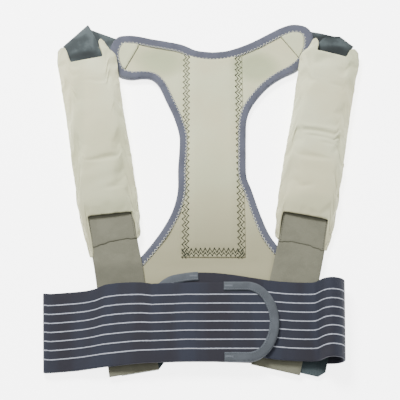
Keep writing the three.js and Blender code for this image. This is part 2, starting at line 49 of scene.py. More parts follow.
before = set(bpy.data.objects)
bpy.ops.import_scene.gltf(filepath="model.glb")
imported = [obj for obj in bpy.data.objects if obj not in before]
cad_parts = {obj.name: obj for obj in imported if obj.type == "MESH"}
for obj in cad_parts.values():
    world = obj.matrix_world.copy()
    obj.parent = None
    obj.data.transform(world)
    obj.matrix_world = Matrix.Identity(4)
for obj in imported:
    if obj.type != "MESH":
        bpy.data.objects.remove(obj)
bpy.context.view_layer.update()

MM = 0.001
CHANNEL_FOOT = 77.0
_channel_low, _channel_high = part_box("spine_channel")
SPINE_X = (_channel_low.x + _channel_high.x) / 2
BELT_Y = _channel_low.y - CHANNEL_FOOT * MM
SIDES = ("left", "right")

# Sizes that the solids share with the looks
PANEL_THICK = 3.0
PANEL_FOOT = 14.0
HIP_HALF = 95.0
TAPE_THICK = 0.7
TAPE_WIDTH = 7.5
NECK_TAPE = 10.2
SLEEVE_LENGTH = 257.0
SLEEVE_WIDTH = 67.0
SLEEVE_THICK = 12.0
SLEEVE_WALL = 3.0
SLEEVE_TOP_Y = 337.0
SLOT_HEIGHT = 2.5
ELASTIC_WIDTH = 39.0
ELASTIC_THICK = 1.6
WEBBING_WIDTH = 50.0
WEBBING_THICK = 1.8
WEBBING_OVERHANG = 7.0
HOOK_THICK = 1.5
BELT_WIDTH = 84.0
BELT_THICK = 1.8
BELT_LEFT = 172.0
BELT_RIGHT = 135.0
LEFT_TIP = 66.5
RIGHT_TIP = -72.0
CURL_HEIGHT = 27.0
CURL_RUN = 29.0
FOLD_HEIGHT = 5.2
END_ROUND = 31.0
TRIM_WIDTH = 9.0
TRIM_ARM = 24.0
TRIM_THICK = 0.8
GAP = 0.3

BELT_HALF = BELT_WIDTH / 2
OVER_BELT = BELT_THICK + GAP
ON_FLOOR = TAPE_THICK + GAP
OVER_ELASTIC = ELASTIC_THICK + GAP + TAPE_THICK + GAP
WEBBING_LEVEL = OVER_BELT + PANEL_THICK + GAP + TAPE_THICK
RIGHT_TRIM_LEVEL = WEBBING_LEVEL + WEBBING_THICK + GAP
RIGHT_WING_LEVEL = RIGHT_TRIM_LEVEL + TRIM_THICK + GAP
LEFT_TRIM_LEVEL = RIGHT_WING_LEVEL + BELT_THICK + GAP
LEFT_WING_LEVEL = LEFT_TRIM_LEVEL + TRIM_THICK + GAP

# The panel's edge from the middle of the neck to the belt, on each side
LEFT_EDGE = [
    (0, 327), (-18.4, 329.6), (-34.5, 337.3), (-51.8, 341.6), (-70.2, 345.3), (-87.4, 349.3),
    (-98.9, 350), (-108.1, 348.2), (-114.4, 339.5), (-117.3, 324.9), (-113.9, 308.4), (-107, 297.1),
    (-93.2, 292.4), (-78.2, 293.8), (-69, 292.4), (-61, 285.1), (-50.6, 262.8), (-42, 242.4),
    (-36, 219), (-36, 198.9), (-37.1, 178.9), (-37.4, 149.7), (-42.8, 126.3), (-53.2, 104.8),
    (-67.5, 83.2), (-81.7, 65), (-95, 46),
]
RIGHT_EDGE = [
    (0, 327), (15, 328.5), (29.9, 333.2), (47.2, 341.3), (65.6, 352.2), (79.4, 360.3), (92, 365),
    (103.5, 364.3), (111, 360.3), (116.2, 349.3), (115, 332.2), (108.1, 315.7), (94.3, 302.6),
    (79.4, 294.6), (64.4, 283.6), (50.6, 267.9), (41.4, 252.9), (37.1, 238), (36, 219),
    (35.6, 198.9), (36, 166.8), (40.7, 152.6), (49.7, 122.6), (58.9, 98.6), (70.3, 81),
    (83.6, 63.9), (95, 46),
]
# Seams across the shoulder lobes, from their top to the armhole
SEAMS = {
    "left": ((-85.1, 335.8), (-99.5, 304.8)),
    "right": ((79.4, 349.3), (99.5, 320.5)),
}
PATCH_THICK = 0.7
# Soft hollows of the panel: x, y, reach across, reach up, depth
PANEL_HOLLOWS = [
    (-66, 318, 24, 14, 1.6), (-48, 300, 12, 18, 0.7), (50, 311, 22, 14, 1.6), (66, 325, 14, 10, 0.8),
    (-52, 96, 16, 12, 0.9), (56, 88, 14, 18, 0.7), (8, 66, 40, 8, 0.8), (-30, 60, 22, 7, 0.6),
]


def at(x, y, z):
    """A place in the brace's directions as a point of the row frame, in metres."""
    return Vector((SPINE_X + x * MM, BELT_Y + y * MM, z * MM))


def mix(a, b, t):
    return a + (b - a) * t


def clamp01(t):
    return min(1.0, max(0.0, t))


def ease(t):
    t = clamp01(t)
    return t * t * (3 - 2 * t)


def bell(d):
    """1 at 0, fading smoothly to 0 at distance 1."""
    return (1 - min(1.0, d * d)) ** 2


def rumple(x, y, reach, seed):
    """Smooth unevenness from about -1 to 1 over about reach millimetres."""
    return noise.noise(Vector((x / reach, y / reach, seed * 7.31)))


def hermite(p1, p2, m1, m2, t):
    """The point at share t of a smooth step between two points with those tangents."""
    return (
        p1 * (2 * t**3 - 3 * t**2 + 1) + m1 * (t**3 - 2 * t**2 + t)
        + p2 * (3 * t**2 - 2 * t**3) + m2 * (t**3 - t**2)
    )


# Steps between two knots of a smooth line
SPAN_STEPS = 12


def runs_along(points):
    """The distance from a line's start to each of its points."""
    runs = [0.0]
    for a, b in zip(points, points[1:]):
        runs.append(runs[-1] + (b - a).length)
    return runs


def step_at(s, count):
    """The step of count even ones that s from 0 to 1 falls in, and the share of it."""
    i = min(count - 1, int(s * count))
    return i, s * count - i


def curve_through(points, count, closed=False):
    """count points spaced evenly by length on a smooth curve through the points."""
    knots = [Vector(p) for p in points]
    last = len(knots) - 1
    fine = []
    for i in range(last + closed):
        near = [(i + k) % len(knots) if closed else min(last, max(0, i + k)) for k in (-1, 0, 1, 2)]
        p0, p1, p2, p3 = (knots[k] for k in near)
        t1 = max(1e-6, (p1 - p0).length) ** 0.5
        t2 = max(1e-6, (p2 - p1).length) ** 0.5
        t3 = max(1e-6, (p3 - p2).length) ** 0.5
        m1 = (p2 - p1) + ((p1 - p0) / t1 - (p2 - p0) / (t1 + t2)) * t2 if (p1 - p0).length else p2 - p1
        m2 = (p2 - p1) + ((p3 - p2) / t3 - (p3 - p1) / (t2 + t3)) * t2 if (p3 - p2).length else p2 - p1
        fine += [hermite(p1, p2, m1, m2, k / SPAN_STEPS) for k in range(SPAN_STEPS)]
    fine.append(knots[0].copy() if closed else knots[-1].copy())
    runs = runs_along(fine)
    out = []
    j = 0
    for i in range(count):
        want = runs[-1] * i / (count if closed else count - 1)
        while j < len(runs) - 2 and runs[j + 1] < want:
            j += 1
        span = runs[j + 1] - runs[j]
        out.append(fine[j].lerp(fine[j + 1], (want - runs[j]) / span if span else 0))
    return out


def run_length(points):
    return runs_along(points)[-1]


def raised(line, offset):
    """The flat line moved to its right by offset(i), as points at height 0."""
    sides = inward_normals(line)
    return [Vector((*(p + side * offset(i)), 0)) for i, (p, side) in enumerate(zip(line, sides))]


def face_up(bm):
    """Turns a sheet's faces so that they look up."""
    bmesh.ops.recalc_face_normals(bm, faces=bm.faces[:])
    if bm.faces[:][0].normal.z < 0:
        bmesh.ops.reverse_faces(bm, faces=bm.faces[:])


def inward_normals(points):
    """Unit vectors to the right of the way that the flat line runs."""
    out = []
    for i, p in enumerate(points):
        along = points[min(len(points) - 1, i + 1)] - points[max(0, i - 1)]
        along.normalize()
        out.append(Vector((along.y, -along.x)))
    return out


def slope(y0, y1, z0, z1, steps):
    """Knots (height up the back, level) of a smooth change of the panel's level."""
    return [(mix(y0, y1, i / steps), mix(z0, z1, ease(i / steps))) for i in range(steps + 1)]


# Levels of the panel's underside: over the belt, down to the surface, up over the elastics
PANEL_KNOTS = [
    (-PANEL_FOOT - 10, OVER_BELT),
    *slope(BELT_HALF + 2, BELT_HALF + 26, OVER_BELT, ON_FLOOR, 4),
    *slope(240.9, 292, ON_FLOOR, OVER_ELASTIC, 5),
    (402, OVER_ELASTIC),
]
# Unevenness of the panel's face: reach, seed, height
PANEL_WAVES = ((38, 1, 0.25), (13, 2, 0.1))
HOLLOW_SPREAD = 1.5


def panel_level(y):
    """Height of the panel's underside."""
    for (y0, z0), (y1, z1) in zip(PANEL_KNOTS, PANEL_KNOTS[1:]):
        if y <= y1:
            return mix(z0, z1, clamp01((y - y0) / (y1 - y0)))
    return PANEL_KNOTS[-1][1]


def panel_top(x, y):
    """Height of the panel's face, with its hollows and slight unevenness."""
    z = panel_level(y) + PANEL_THICK
    for reach, seed, high in PANEL_WAVES:
        z += high * rumple(x, y, reach, seed)
    for cx, cy, rx, ry, deep in PANEL_HOLLOWS:
        z -= deep * bell(math.hypot((x - cx) / rx, (y - cy) / ry) / HOLLOW_SPREAD)
    return z


# The panel's face under the spine channel: how deep it is pressed in, and from where
PRESSED = 0.6
PRESSED_HALF = 37.0
PRESSED_FOOT = 72.0
PRESSED_SOFT = 3.0


def panel_face(x, y):
    """The panel's face, pressed in under the stitched channel and just beside it."""
    inside = ease((PRESSED_HALF - abs(x)) / PRESSED_SOFT) * ease((y - PRESSED_FOOT) / PRESSED_SOFT)
    return panel_top(x, y) - PRESSED * inside


def finish_piece(bm, name, material, nodes=(), smooth=True):
    """Makes a mesh object of bm in the named material and hides the solids that it stands for."""
    mesh = bpy.data.meshes.new(name)
    bm.to_mesh(mesh)
    bm.free()
    piece = bpy.data.objects.new(name, mesh)
    bpy.context.scene.collection.objects.link(piece)
    if smooth:
        mesh.shade_smooth()
    mesh.materials.append(finish_named(material))
    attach(piece, "root")
    if nodes:
        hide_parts(*nodes)
    return piece


def thicken(piece, thick, downward=False):
    """Gives a sheet its thickness, below it or to both sides with its cut edges rounded a little."""
    solid = piece.modifiers.new("Thickness", "SOLIDIFY")
    solid.thickness = thick * MM
    solid.offset = -1.0 if downward else 0.0
    if not downward:
        soft = piece.modifiers.new("Soft rim", "BEVEL")
        soft.width = thick * MM * 0.3
        soft.segments = 2
        soft.limit_method = "ANGLE"
        soft.angle_limit = math.radians(55)
        soft.profile = 0.5


def grid_sheet(along, across, place, measure=None):
    """A grid whose corners go where place(s, t) says, for s along and t across from 0 to 1.

    measure(s, t) gives the sheet's own map in metres, which its weave and stripes follow.
    """
    bm = bmesh.new()
    bmesh.ops.create_grid(bm, x_segments=along, y_segments=across, size=0.5)
    shares = {v: (v.co.x + 0.5, v.co.y + 0.5) for v in bm.verts}
    layer = bm.loops.layers.uv.new("Weave")
    for face in bm.faces:
        for loop in face.loops:
            s, t = shares[loop.vert]
            loop[layer].uv = measure(s, t) if measure else (s, t)
    for v, (s, t) in shares.items():
        v.co = at(*place(s, t))
    return bm


def ribbon(along, edge_a, edge_b, across, lift=None):
    """A strap between two edges, which are lists of points with the same count."""
    count = len(edge_a) - 1
    runs = runs_along([(a + b) / 2 for a, b in zip(edge_a, edge_b)])
    width = (edge_b[count // 2] - edge_a[count // 2]).length

    def place(s, t):
        i, part = step_at(s, count)
        p = edge_a[i].lerp(edge_a[i + 1], part).lerp(edge_b[i].lerp(edge_b[i + 1], part), t)
        if lift:
            p = p + lift(s, t, p)
        return p

    def measure(s, t):
        i, part = step_at(s, count)
        return mix(runs[i], runs[i + 1], part) * MM, (t - 0.5) * width * MM

    return grid_sheet(along, across, place, measure), runs[-1]


def cut_sheet(outline, step, height, cuts=()):
    """A sheet of the outline's shape, cut into a fine grid and raised by height(x, y).

    Each cut is (point, direction): what lies on that side of the point is cut away.
    """
    bm = bmesh.new()
    bm.faces.new([bm.verts.new((x, y, 0)) for x, y in outline])
    bmesh.ops.triangulate(bm, faces=bm.faces[:], quad_method="BEAUTY", ngon_method="BEAUTY")

    def bisect(place, direction, clear=False):
        bmesh.ops.bisect_plane(
            bm, geom=bm.verts[:] + bm.edges[:] + bm.faces[:], dist=1e-4,
            plane_co=place, plane_no=direction, clear_outer=clear,
        )

    for point, direction in cuts:
        bisect((*point, 0), (*direction, 0), clear=True)
    for axis in (0, 1):
        low = min(v.co[axis] for v in bm.verts)
        high = max(v.co[axis] for v in bm.verts)
        normal = Vector((0, 0, 0))
        normal[axis] = 1
        for i in range(1, int((high - low) / step)):
            bisect(normal * (low + i * step), normal)
    layer = bm.loops.layers.uv.new("Weave")
    for face in bm.faces:
        for loop in face.loops:
            loop[layer].uv = (loop.vert.co.x * MM, loop.vert.co.y * MM)
    face_up(bm)
    for v in bm.verts:
        v.co = at(v.co.x, v.co.y, height(v.co.x, v.co.y))
    return bm


def stitch_mesh(legs, radius):
    """Thread: a slim spindle for each stitch, from one needle hole to the next."""
    bm = bmesh.new()
    for a, b in legs:
        start, end = at(*a), at(*b)
        run = end - start
        turn = run.to_track_quat("Z", "Y").to_matrix().to_4x4()
        shape = Matrix.Diagonal((radius * MM, radius * MM, run.length * 0.56, 1))
        bmesh.ops.create_icosphere(
            bm, subdivisions=1, radius=1,
            matrix=Matrix.Translation((start + end) / 2) @ turn @ shape,
        )
    return bm


def zigzag(line, pitch, low, high, height, rise=(0.0, 0.0)):
    """Stitches to and fro beside a line, from low to high millimetres on its right.

    rise is how far their ends on the low and on the high side lie above height(x, y).
    """
    count = max(2, round(run_length(line) / (pitch / 2)))
    points = curve_through([(p[0], p[1], 0) for p in line], count + 1)
    flat = [Vector(p[:2]) for p in points]
    spots = []
    for i, (p, side) in enumerate(zip(flat, inward_normals(flat))):
        q = p + side * (high if i % 2 else low)
        spots.append((q.x, q.y, height(q.x, q.y) + rise[i % 2]))
    return list(zip(spots, spots[1:]))


def running(line, pitch, share, height):
    """Straight stitches along a line, each share of the pitch long."""
    count = max(1, round(run_length(line) / pitch))
    points = curve_through([(p[0], p[1], 0) for p in line], count + 1)
    legs = []
    for a, b in zip(points, points[1:]):
        c = a.lerp(b, share)
        legs.append(((a.x, a.y, height(a.x, a.y)), (c.x, c.y, height(c.x, c.y))))
    return legs


class Finish:
    """A material whose nodes are added one by one around its shader."""

    def __init__(self, name, roughness=0.9, **sockets):
        self.material = bpy.data.materials.new(name)
        self.material.use_nodes = True
        self.tree = self.material.node_tree
        self.shader = self.tree.nodes["Principled BSDF"]
        self.shader.inputs["Roughness"].default_value = roughness
        for socket, value in sockets.items():
            self.shader.inputs[socket.replace("_", " ")].default_value = value
        coordinates = self.tree.nodes.new("ShaderNodeTexCoord")
        self.place = coordinates.outputs["Object"]
        self.own_map = coordinates.outputs["UV"]
        self.heights = []

    def join(self, value, socket):
        if isinstance(value, bpy.types.NodeSocket):
            self.tree.links.new(value, socket)
        else:
            socket.default_value = value

    def add(self, kind, inputs, output=0, **settings):
        node = self.tree.nodes.new(kind)
        for key, value in settings.items():
            setattr(node, key, value)
        for key, value in inputs.items():
            self.join(value, node.inputs[key])
        return node.outputs[output]

    def maths(self, operation, a, b=0.0):
        return self.add("ShaderNodeMath", {0: a, 1: b}, operation=operation)

    def times(self, a, b):
        return self.maths("MULTIPLY", a, b)

    def blend(self, share, a, b):
        return self.add("ShaderNodeMix", {0: share, 6: a, 7: b}, output=2, data_type="RGBA")

    def noise(self, scale, detail=2.0, place=None):
        return self.add(
            "ShaderNodeTexNoise", {"Vector": place or self.place, "Scale": scale, "Detail": detail}
        )

    def ribs(self, pitch, direction, place, distortion=0.0):
        """Even ribs with a pitch in metres."""
        return self.add(
            "ShaderNodeTexWave",
            {"Vector": place, "Scale": math.pi / (10 * pitch), "Distortion": distortion},
            output=1, bands_direction=direction,
        )

    def weave(self, place, across, along, distortions=(0.3, 0.3)):
        """Ribs both ways with those pitches: their product, and the ribs across by themselves."""
        rib = self.ribs(across, "X", place, distortions[0])
        return self.times(rib, self.ribs(along, "Y", place, distortions[1])), rib

    def span(self, value, low, high, to_low=0.0, to_high=1.0):
        return self.add(
            "ShaderNodeMapRange", {0: value, 1: low, 2: high, 3: to_low, 4: to_high},
            interpolation_type="SMOOTHSTEP",
        )

    def zone(self, x, y, reach_x, reach_y):
        """1 at a place of the brace, in millimetres, falling to 0 at its reach."""
        middle = at(x, y, 0)
        away = []
        for axis, reach in enumerate((reach_x, reach_y)):
            value = self.add("ShaderNodeSeparateXYZ", {0: self.place}, output=axis)
            share = self.maths("DIVIDE", self.maths("SUBTRACT", value, middle[axis]), reach * MM)
            away.append(self.times(share, share))
        return self.span(self.maths("ADD", *away), 1.0, 0.0)

    def tint(self, base, shade_zones, tone):
        """base drawn towards tone in each zone, by the zone's share."""
        for x, y, reach_x, reach_y, share in shade_zones:
            base = self.blend(self.times(self.zone(x, y, reach_x, reach_y), share), base, tone)
        return base

    def below(self, high, low):
        """0 above one height up the back, 1 below the other, in millimetres."""
        value = self.add("ShaderNodeSeparateXYZ", {0: self.place}, output=1)
        return self.span(value, at(0, high, 0).y, at(0, low, 0).y)

    def relief(self, height, distance, strength=1.0):
        self.heights.append((height, distance, strength))

    def finish(self, colour):
        self.join(colour, self.shader.inputs["Base Color"])
        normal = None
        for height, distance, strength in self.heights:
            inputs = {"Height": height, "Distance": distance, "Strength": strength}
            if normal:
                inputs["Normal"] = normal
            normal = self.add("ShaderNodeBump", inputs)
        if normal:
            self.join(normal, self.shader.inputs["Normal"])
        return self.material


def shade(colour, factor):
    return (*(min(1.0, c * factor) for c in colour[:3]), 1.0)


def tone(colour, factors):
    """The colour with each of its channels changed by its own factor."""
    return (*(c * factor for c, factor in zip(colour, factors)), 1)


# What painted shade on the cloth and the warm bands of the elastic do to a colour's channels
CLOTH_SHADE_TONE = (0.68, 0.71, 0.66)
WARM_TONE = (0.78, 0.66, 0.58)
# Heights up the back between which painted shade darkens the cloth towards its low end
LOW_SHADE_SPAN = (215, 70)


# Painted shade on the knit, greyer and darker in the panel's hollows and along the pads' edges and feet: x,
# y, reach across, reach up, share
PANEL_SHADE_ZONES = [
    (-58, 316, 36, 26, 1.0), (50, 308, 34, 26, 1.1), (-50, 100, 20, 16, 0.4), (60, 92, 16, 26, 0.35),
    (-84, 326, 16, 16, 0.3), (0, 175, 30, 60, 0.18),
]
PAD_SHADE_ZONES = [
    (-152, 318, 16, 22, 0.45), (-118, 322, 14, 14, 0.3), (118, 318, 14, 14, 0.4), (162, 300, 12, 60, 0.4),
    (-150, 190, 12, 150, 0.35), (-100, 180, 10, 100, 0.25), (-102, 128, 46, 14, 0.5), (98, 132, 44, 14, 0.4),
    (-112, 165, 60, 90, 0.3),
]


def knit_cloth(name, colour, warm, patch_size, shade_zones=(), low=None, low_shade_share=0.0):
    """Pale laminated knit: faint mottling, a fine mesh and tiny specks, with painted shade in patches and
    towards its low end.
    """
    f = Finish(name, roughness=0.9, Sheen_Weight=0.06, Specular_IOR_Level=0.25)
    patches = f.span(f.noise(1 / patch_size, 3.0), 0.35, 0.65)
    base = f.blend(patches, shade(colour, 1.0), warm)
    specks = f.span(f.noise(900), 0.3, 0.7, 0.0, 0.22)
    base = f.blend(specks, base, shade(colour, 0.82))
    mesh, _ = f.weave(f.place, 0.0011, 0.0009, (0.4, 0.4))
    base = f.blend(f.times(mesh, 0.16), base, shade(colour, 1.12))
    # Painted shade: greyer and darker in each listed area
    base = f.tint(base, shade_zones, tone(colour, CLOTH_SHADE_TONE))
    # Painted shade: the cloth darkens towards the belt
    if low:
        base = f.blend(f.times(f.below(*LOW_SHADE_SPAN), low_shade_share), base, low)
    f.relief(mesh, 0.00012, 0.55)
    f.relief(f.noise(120, 3.0), 0.0006, 0.35)
    return f.finish(base)


# Painted shade on the shoulder elastics: inside the pads' mouths and along their folded edges
ELASTIC_SHADE_ZONES = [
    (-147, 320, 30, 9, 0.85), (138, 327, 32, 9, 0.85), (140, 349, 34, 7, 0.9), (-133, 338, 5, 18, 0.5),
]
# Where the belt shades the left webbing
WEBBING_ZONES = [(-93, 51, 60, 20, 0.3)]


def woven_tape(name, colour, rib_pitch, contrast, patch_and_highlight=1.25, shade_zones=()):
    """Woven tape or elastic: ribs across its length, threads along it, a little fluff and painted shade in
    given areas.
    """
    f = Finish(name, roughness=0.8, Sheen_Weight=0.04, Specular_IOR_Level=0.2)
    weave, _ = f.weave(f.own_map, rib_pitch, rib_pitch * 0.8)
    base = f.blend(f.times(weave, contrast), shade(colour, 0.8), shade(colour, 1.35))
    # Lighter mottled patches; on the dark elastic, strong ones also paint highlights on the lit faces of its
    # creases
    base = f.blend(f.span(f.noise(55, 3.0), 0.38, 0.62, 0.0, 0.5), base, shade(colour, patch_and_highlight))
    fluff = f.span(f.noise(1500), 0.45, 0.7, 0.0, 0.18)
    base = f.blend(fluff, base, shade(colour, 1.8))
    # Painted shade: the colour darkens in each given area
    base = f.tint(base, shade_zones, shade(colour, 0.3))
    f.relief(weave, 0.0002, 0.6)
    f.relief(f.noise(160, 3.0), 0.0005, 0.3)
    return f.finish(base)


def striped_elastic(name, colour, stripe, pitch, width):
    """The belt's elastic: ribs across it and seven pale stripes along it, with painted shade just beside each
    stripe.
    """
    f = Finish(name, roughness=0.8, Sheen_Weight=0.03, Specular_IOR_Level=0.15)
    weave, rib = f.weave(f.own_map, 0.0014, 0.00105, (0.5, 0.3))
    base = f.blend(f.times(weave, 0.5), shade(colour, 0.86), shade(colour, 1.28))
    bands = f.add("ShaderNodeVectorMath", {0: f.own_map, 1: (26.0, 5.0, 1.0)}, operation="MULTIPLY")
    warm = f.span(f.noise(1.0, place=bands), 0.38, 0.62)
    base = f.blend(f.times(warm, 0.85), base, tone(colour, WARM_TONE))
    across = f.add("ShaderNodeSeparateXYZ", {0: f.own_map}, output=1)
    away = f.maths("PINGPONG", across, pitch / 2)
    edge = f.maths("ADD", away, f.maths("SUBTRACT", f.times(f.noise(420, 1.0), 0.0004), 0.0002))
    line = f.span(edge, width / 2 + 0.00022, width / 2 - 0.00022)
    within = f.span(f.maths("ABSOLUTE", across), pitch * 3.4, pitch * 3.3)
    mask = f.times(line, within)
    pale = f.blend(f.times(rib, 0.45), shade(stripe, 1.0), shade(stripe, 0.72))
    # Painted shade in a narrow band beside each stripe's edge
    groove_shade = f.span(away, width / 2 + 0.0011, width / 2 + 0.0003)
    base = f.blend(f.times(f.times(groove_shade, within), 0.35), base, shade(colour, 0.6))
    base = f.blend(mask, base, pale)
    f.relief(weave, 0.00022, 0.6)
    f.relief(mask, 0.0003, 0.5)
    return f.finish(base)


def thread_finish(name, colour):
    """Sewing thread: twisted, with a slight gloss."""
    f = Finish(name, roughness=0.7, Specular_IOR_Level=0.2)
    twist = f.ribs(0.0005, "DIAGONAL", f.place, 0.5)
    return f.finish(f.blend(f.times(twist, 0.4), shade(colour, 0.85), shade(colour, 1.25)))


def hook_finish(name, colour):
    """Hook tab: fine rows of hooks, with painted highlights where they glint."""
    f = Finish(name, roughness=0.5, Specular_IOR_Level=0.3)
    rows, _ = f.weave(f.place, 0.0016, 0.0013, (1.0, 1.0))
    # Painted highlights: lighter rows and patches stand for the hooks' glints
    base = f.blend(f.times(rows, 0.5), shade(colour, 0.8), shade(colour, 1.7))
    base = f.blend(f.span(f.noise(90), 0.4, 0.7, 0.0, 0.4), base, shade(colour, 1.5))
    f.relief(rows, 0.0003, 0.7)
    return f.finish(base)


# The panel's edge with even steps, from the neck to the belt
EDGE_STEPS = 232
LEFT_LINE, RIGHT_LINE = (
    [Vector(p[:2]) for p in curve_through([(x, y, 0) for x, y in edge], EDGE_STEPS + 1)]
    for edge in (LEFT_EDGE, RIGHT_EDGE)
)
# The neck's tape ends at the tips of the lobes, and the others end near the belt
NECK_STEPS = 108
TAPE_END = EDGE_STEPS - 4
OUTLINE_SKIP = 4


def edge_line(x):
    """The panel's edge on the side of x."""
    return RIGHT_LINE if x > 0 else LEFT_LINE


def panel_outline(distance):
    """The panel's outline moved inward by the distance."""
    right, left = (
        [p + side * (turn * distance) for p, side in zip(line, inward_normals(line))][::OUTLINE_SKIP]
        for line, turn in ((RIGHT_LINE, 1), (LEFT_LINE, -1))
    )
    corner = HIP_HALF - distance
    return [*right, (corner, -PANEL_FOOT), (-corner, -PANEL_FOOT), *reversed(left[1:])]


def neck_line(x):
    """Height up the back of the neckline at x."""
    line = edge_line(x)
    for a, b in zip(line, line[1:]):
        if abs(a.x) <= abs(x) <= abs(b.x):
            return mix(a.y, b.y, (abs(x) - abs(a.x)) / max(1e-6, abs(b.x) - abs(a.x)))
    return line[0].y


# The stitched channel: its half width, the middle of the rows beside it and across its foot
CHANNEL_HALF = 34.0
CHANNEL_LOW = 73.0
CHANNEL_THICK = 1.0
CHANNEL_PUFF = 1.5
ROW_X = 29.5
ROW_FOOT_Y = 78.0
ROW_HALF = 3.4
ROW_DEPTH = 0.75
# The rows up the back are sewn with longer stitches than the row across their foot
COLUMN_PITCH = 1.55
STITCH_RISE = 0.32
UNDER_TAPE = 0.8


def channel_side(x, y):
    """Half width of the channel at y on the side of x, up to the edge tape."""
    near = [abs(p.x) for p in edge_line(x)[NECK_STEPS:] if abs(p.y - y) < 4]
    return min([CHANNEL_HALF, *(edge - TAPE_WIDTH + UNDER_TAPE for edge in near)])


def channel_top(x, y):
    """Height of the stitched channel: full inside, drawn in at its rows."""
    across = abs(x)
    up = y - ROW_FOOT_Y
    puff = CHANNEL_PUFF * ease((ROW_X - across) / 11) * ease(up / 12)
    row = max(bell((across - ROW_X) / 4.2) * (up > -4), bell(up / 4.4) * (across < ROW_X + 3))
    puff += 0.35 * ease((CHANNEL_HALF - across) / 2) - ROW_DEPTH * row
    return panel_top(x, y) + GAP + puff


class BraceSizes(PropertyGroup):
    """Sizes of the stitching and stripes that a user may change."""

    stripe_pitch: FloatProperty(
        name="Stripe pitch", description="Distance from one belt stripe to the next",
        default=0.00965, unit="LENGTH",
    )
    stripe_width: FloatProperty(
        name="Stripe width", description="Width of each pale belt stripe", default=0.0011, unit="LENGTH",
    )
    thread_radius: FloatProperty(
        name="Thread radius", description="Half the thickness of the sewing thread",
        default=0.0003, unit="LENGTH",
    )
    quilt_pitch: FloatProperty(
        name="Quilting pitch", description="Length of one zigzag of the spine channel's rows",
        default=0.0048, unit="LENGTH",
    )
    edge_pitch: FloatProperty(
        name="Edge pitch", description="Length of one zigzag along the edge tape",
        default=0.0042, unit="LENGTH",
    )
    pad_swell: FloatProperty(
        name="Pad swell", description="How far a point of a pad may move as it fills",
        default=0.003, unit="LENGTH",
    )


def colour_property(name, description, default):
    return FloatVectorProperty(
        name=name, description=description, default=default, size=3, subtype="COLOR", min=0, max=1
    )


class BraceColours(PropertyGroup):
    """Colours of the brace's materials."""

    cloth: colour_property("Cloth", "Pale knit of the panel", (0.5, 0.515, 0.335))
    cloth_warm: colour_property("Warm cloth", "Where the knit looks warmer", (0.49, 0.47, 0.3))
    # Painted shade: the darker knit colour that the panel and pads take towards the belt
    cloth_low_shade: colour_property("Low cloth", "Knit near the belt", (0.265, 0.253, 0.16))
    pad: colour_property("Pads", "Pale knit of the shoulder pads", (0.56, 0.57, 0.385))
    tape: colour_property("Edge tape", "Grey-purple edge tape", (0.072, 0.077, 0.102))
    elastic: colour_property("Shoulder elastic", "Dark elastic over the shoulders", (0.036, 0.045, 0.047))
    webbing: colour_property("Webbing", "Brownish grey webbing", (0.135, 0.134, 0.097))
    hook: colour_property("Hook tab", "Dark blue-green hook tab", (0.022, 0.036, 0.04))
    belt: colour_property("Belt", "Dark blue-grey belt elastic", (0.0235, 0.0265, 0.039))
    stripe: colour_property("Stripes", "Pale belt stripes", (0.34, 0.357, 0.41))
    trim: colour_property("Belt trim", "Grey tape on the belt's ends", (0.062, 0.07, 0.08))
    dark_thread: colour_property("Quilting thread", "Grey-green thread", (0.035, 0.042, 0.026))
    pale_thread: colour_property("Pale thread", "Thread in the cloth's colour", (0.75, 0.76, 0.62))
    floor: colour_property("Floor", "Plain pale floor", (0.93, 0.93, 0.93))


def sizes():
    return bpy.context.scene.brace_sizes


def colour(name):
    return (*getattr(bpy.context.scene.brace_colours, name), 1.0)


# Woven pieces: their colour, rib pitch, contrast, patchiness and areas of painted shade
WOVEN = {
    "edge_tape": ("tape", 0.0012, 0.3),
    # The dark elastic's strong patchiness is mottling and painted highlights on its creases
    "dark_elastic": ("elastic", 0.0013, 0.5, 2.6, ELASTIC_SHADE_ZONES),
    "grey_webbing": ("webbing", 0.0014, 0.28, 1.08, WEBBING_ZONES),
    "belt_trim": ("trim", 0.0012, 0.3),
}
# Threads: their colour and how much brighter they are than it
THREADS = {
    "quilt_thread": ("dark_thread", 1.0), "pale_thread": ("pale_thread", 1.0),
    "trim_thread": ("trim", 2.2), "webbing_thread": ("webbing", 0.35),
}
FINISHES = {}


def make_finish(name):
    if name in WOVEN:
        tint, *settings = WOVEN[name]
        return woven_tape(name, colour(tint), *settings)
    if name in THREADS:
        tint, factor = THREADS[name]
        return thread_finish(name, shade(colour(tint), factor))
    # The panel and the pads carry painted shade in patches and towards the belt
    cloth, warm, low = colour("cloth"), colour("cloth_warm"), colour("cloth_low_shade")
    if name == "panel_knit":
        return knit_cloth(name, cloth, warm, 0.06, PANEL_SHADE_ZONES, low, 1.0)
    if name == "lobe_knit":
        return knit_cloth(name, shade(cloth, 0.93), cloth, 0.02)
    if name == "pad_knit":
        return knit_cloth(name, colour("pad"), shade(warm, 1.08), 0.07, PAD_SHADE_ZONES, low, 0.5)
    if name == "belt_elastic":
        stripes = sizes()
        return striped_elastic(
            name, colour("belt"), colour("stripe"), stripes.stripe_pitch, stripes.stripe_width
        )
    if name == "hook_plastic":
        return hook_finish(name, colour("hook"))
    raise ValueError(f"no material is called {name}")


def finish_named(name):
    """The material of that name, made on first use."""
    if name not in FINISHES:
        FINISHES[name] = make_finish(name)
    return FINISHES[name]


def sew(name, legs, material, radius_share):
    """A piece that holds a group of stitches."""
    finish_piece(stitch_mesh(legs, sizes().thread_radius / MM * radius_share), name, material)


class BRACE_OT_back_panel(Operator):
    """Back panel with soft hollows, cut to its outline"""

    bl_idname = "brace.back_panel"
    bl_label = "Back panel"

    def execute(self, context):
        bm = cut_sheet(panel_outline(0), 2.5, panel_face)
        piece = finish_piece(bm, "panel", "panel_knit", ["back_panel"])
        thicken(piece, PANEL_THICK, downward=True)
        return {"FINISHED"}


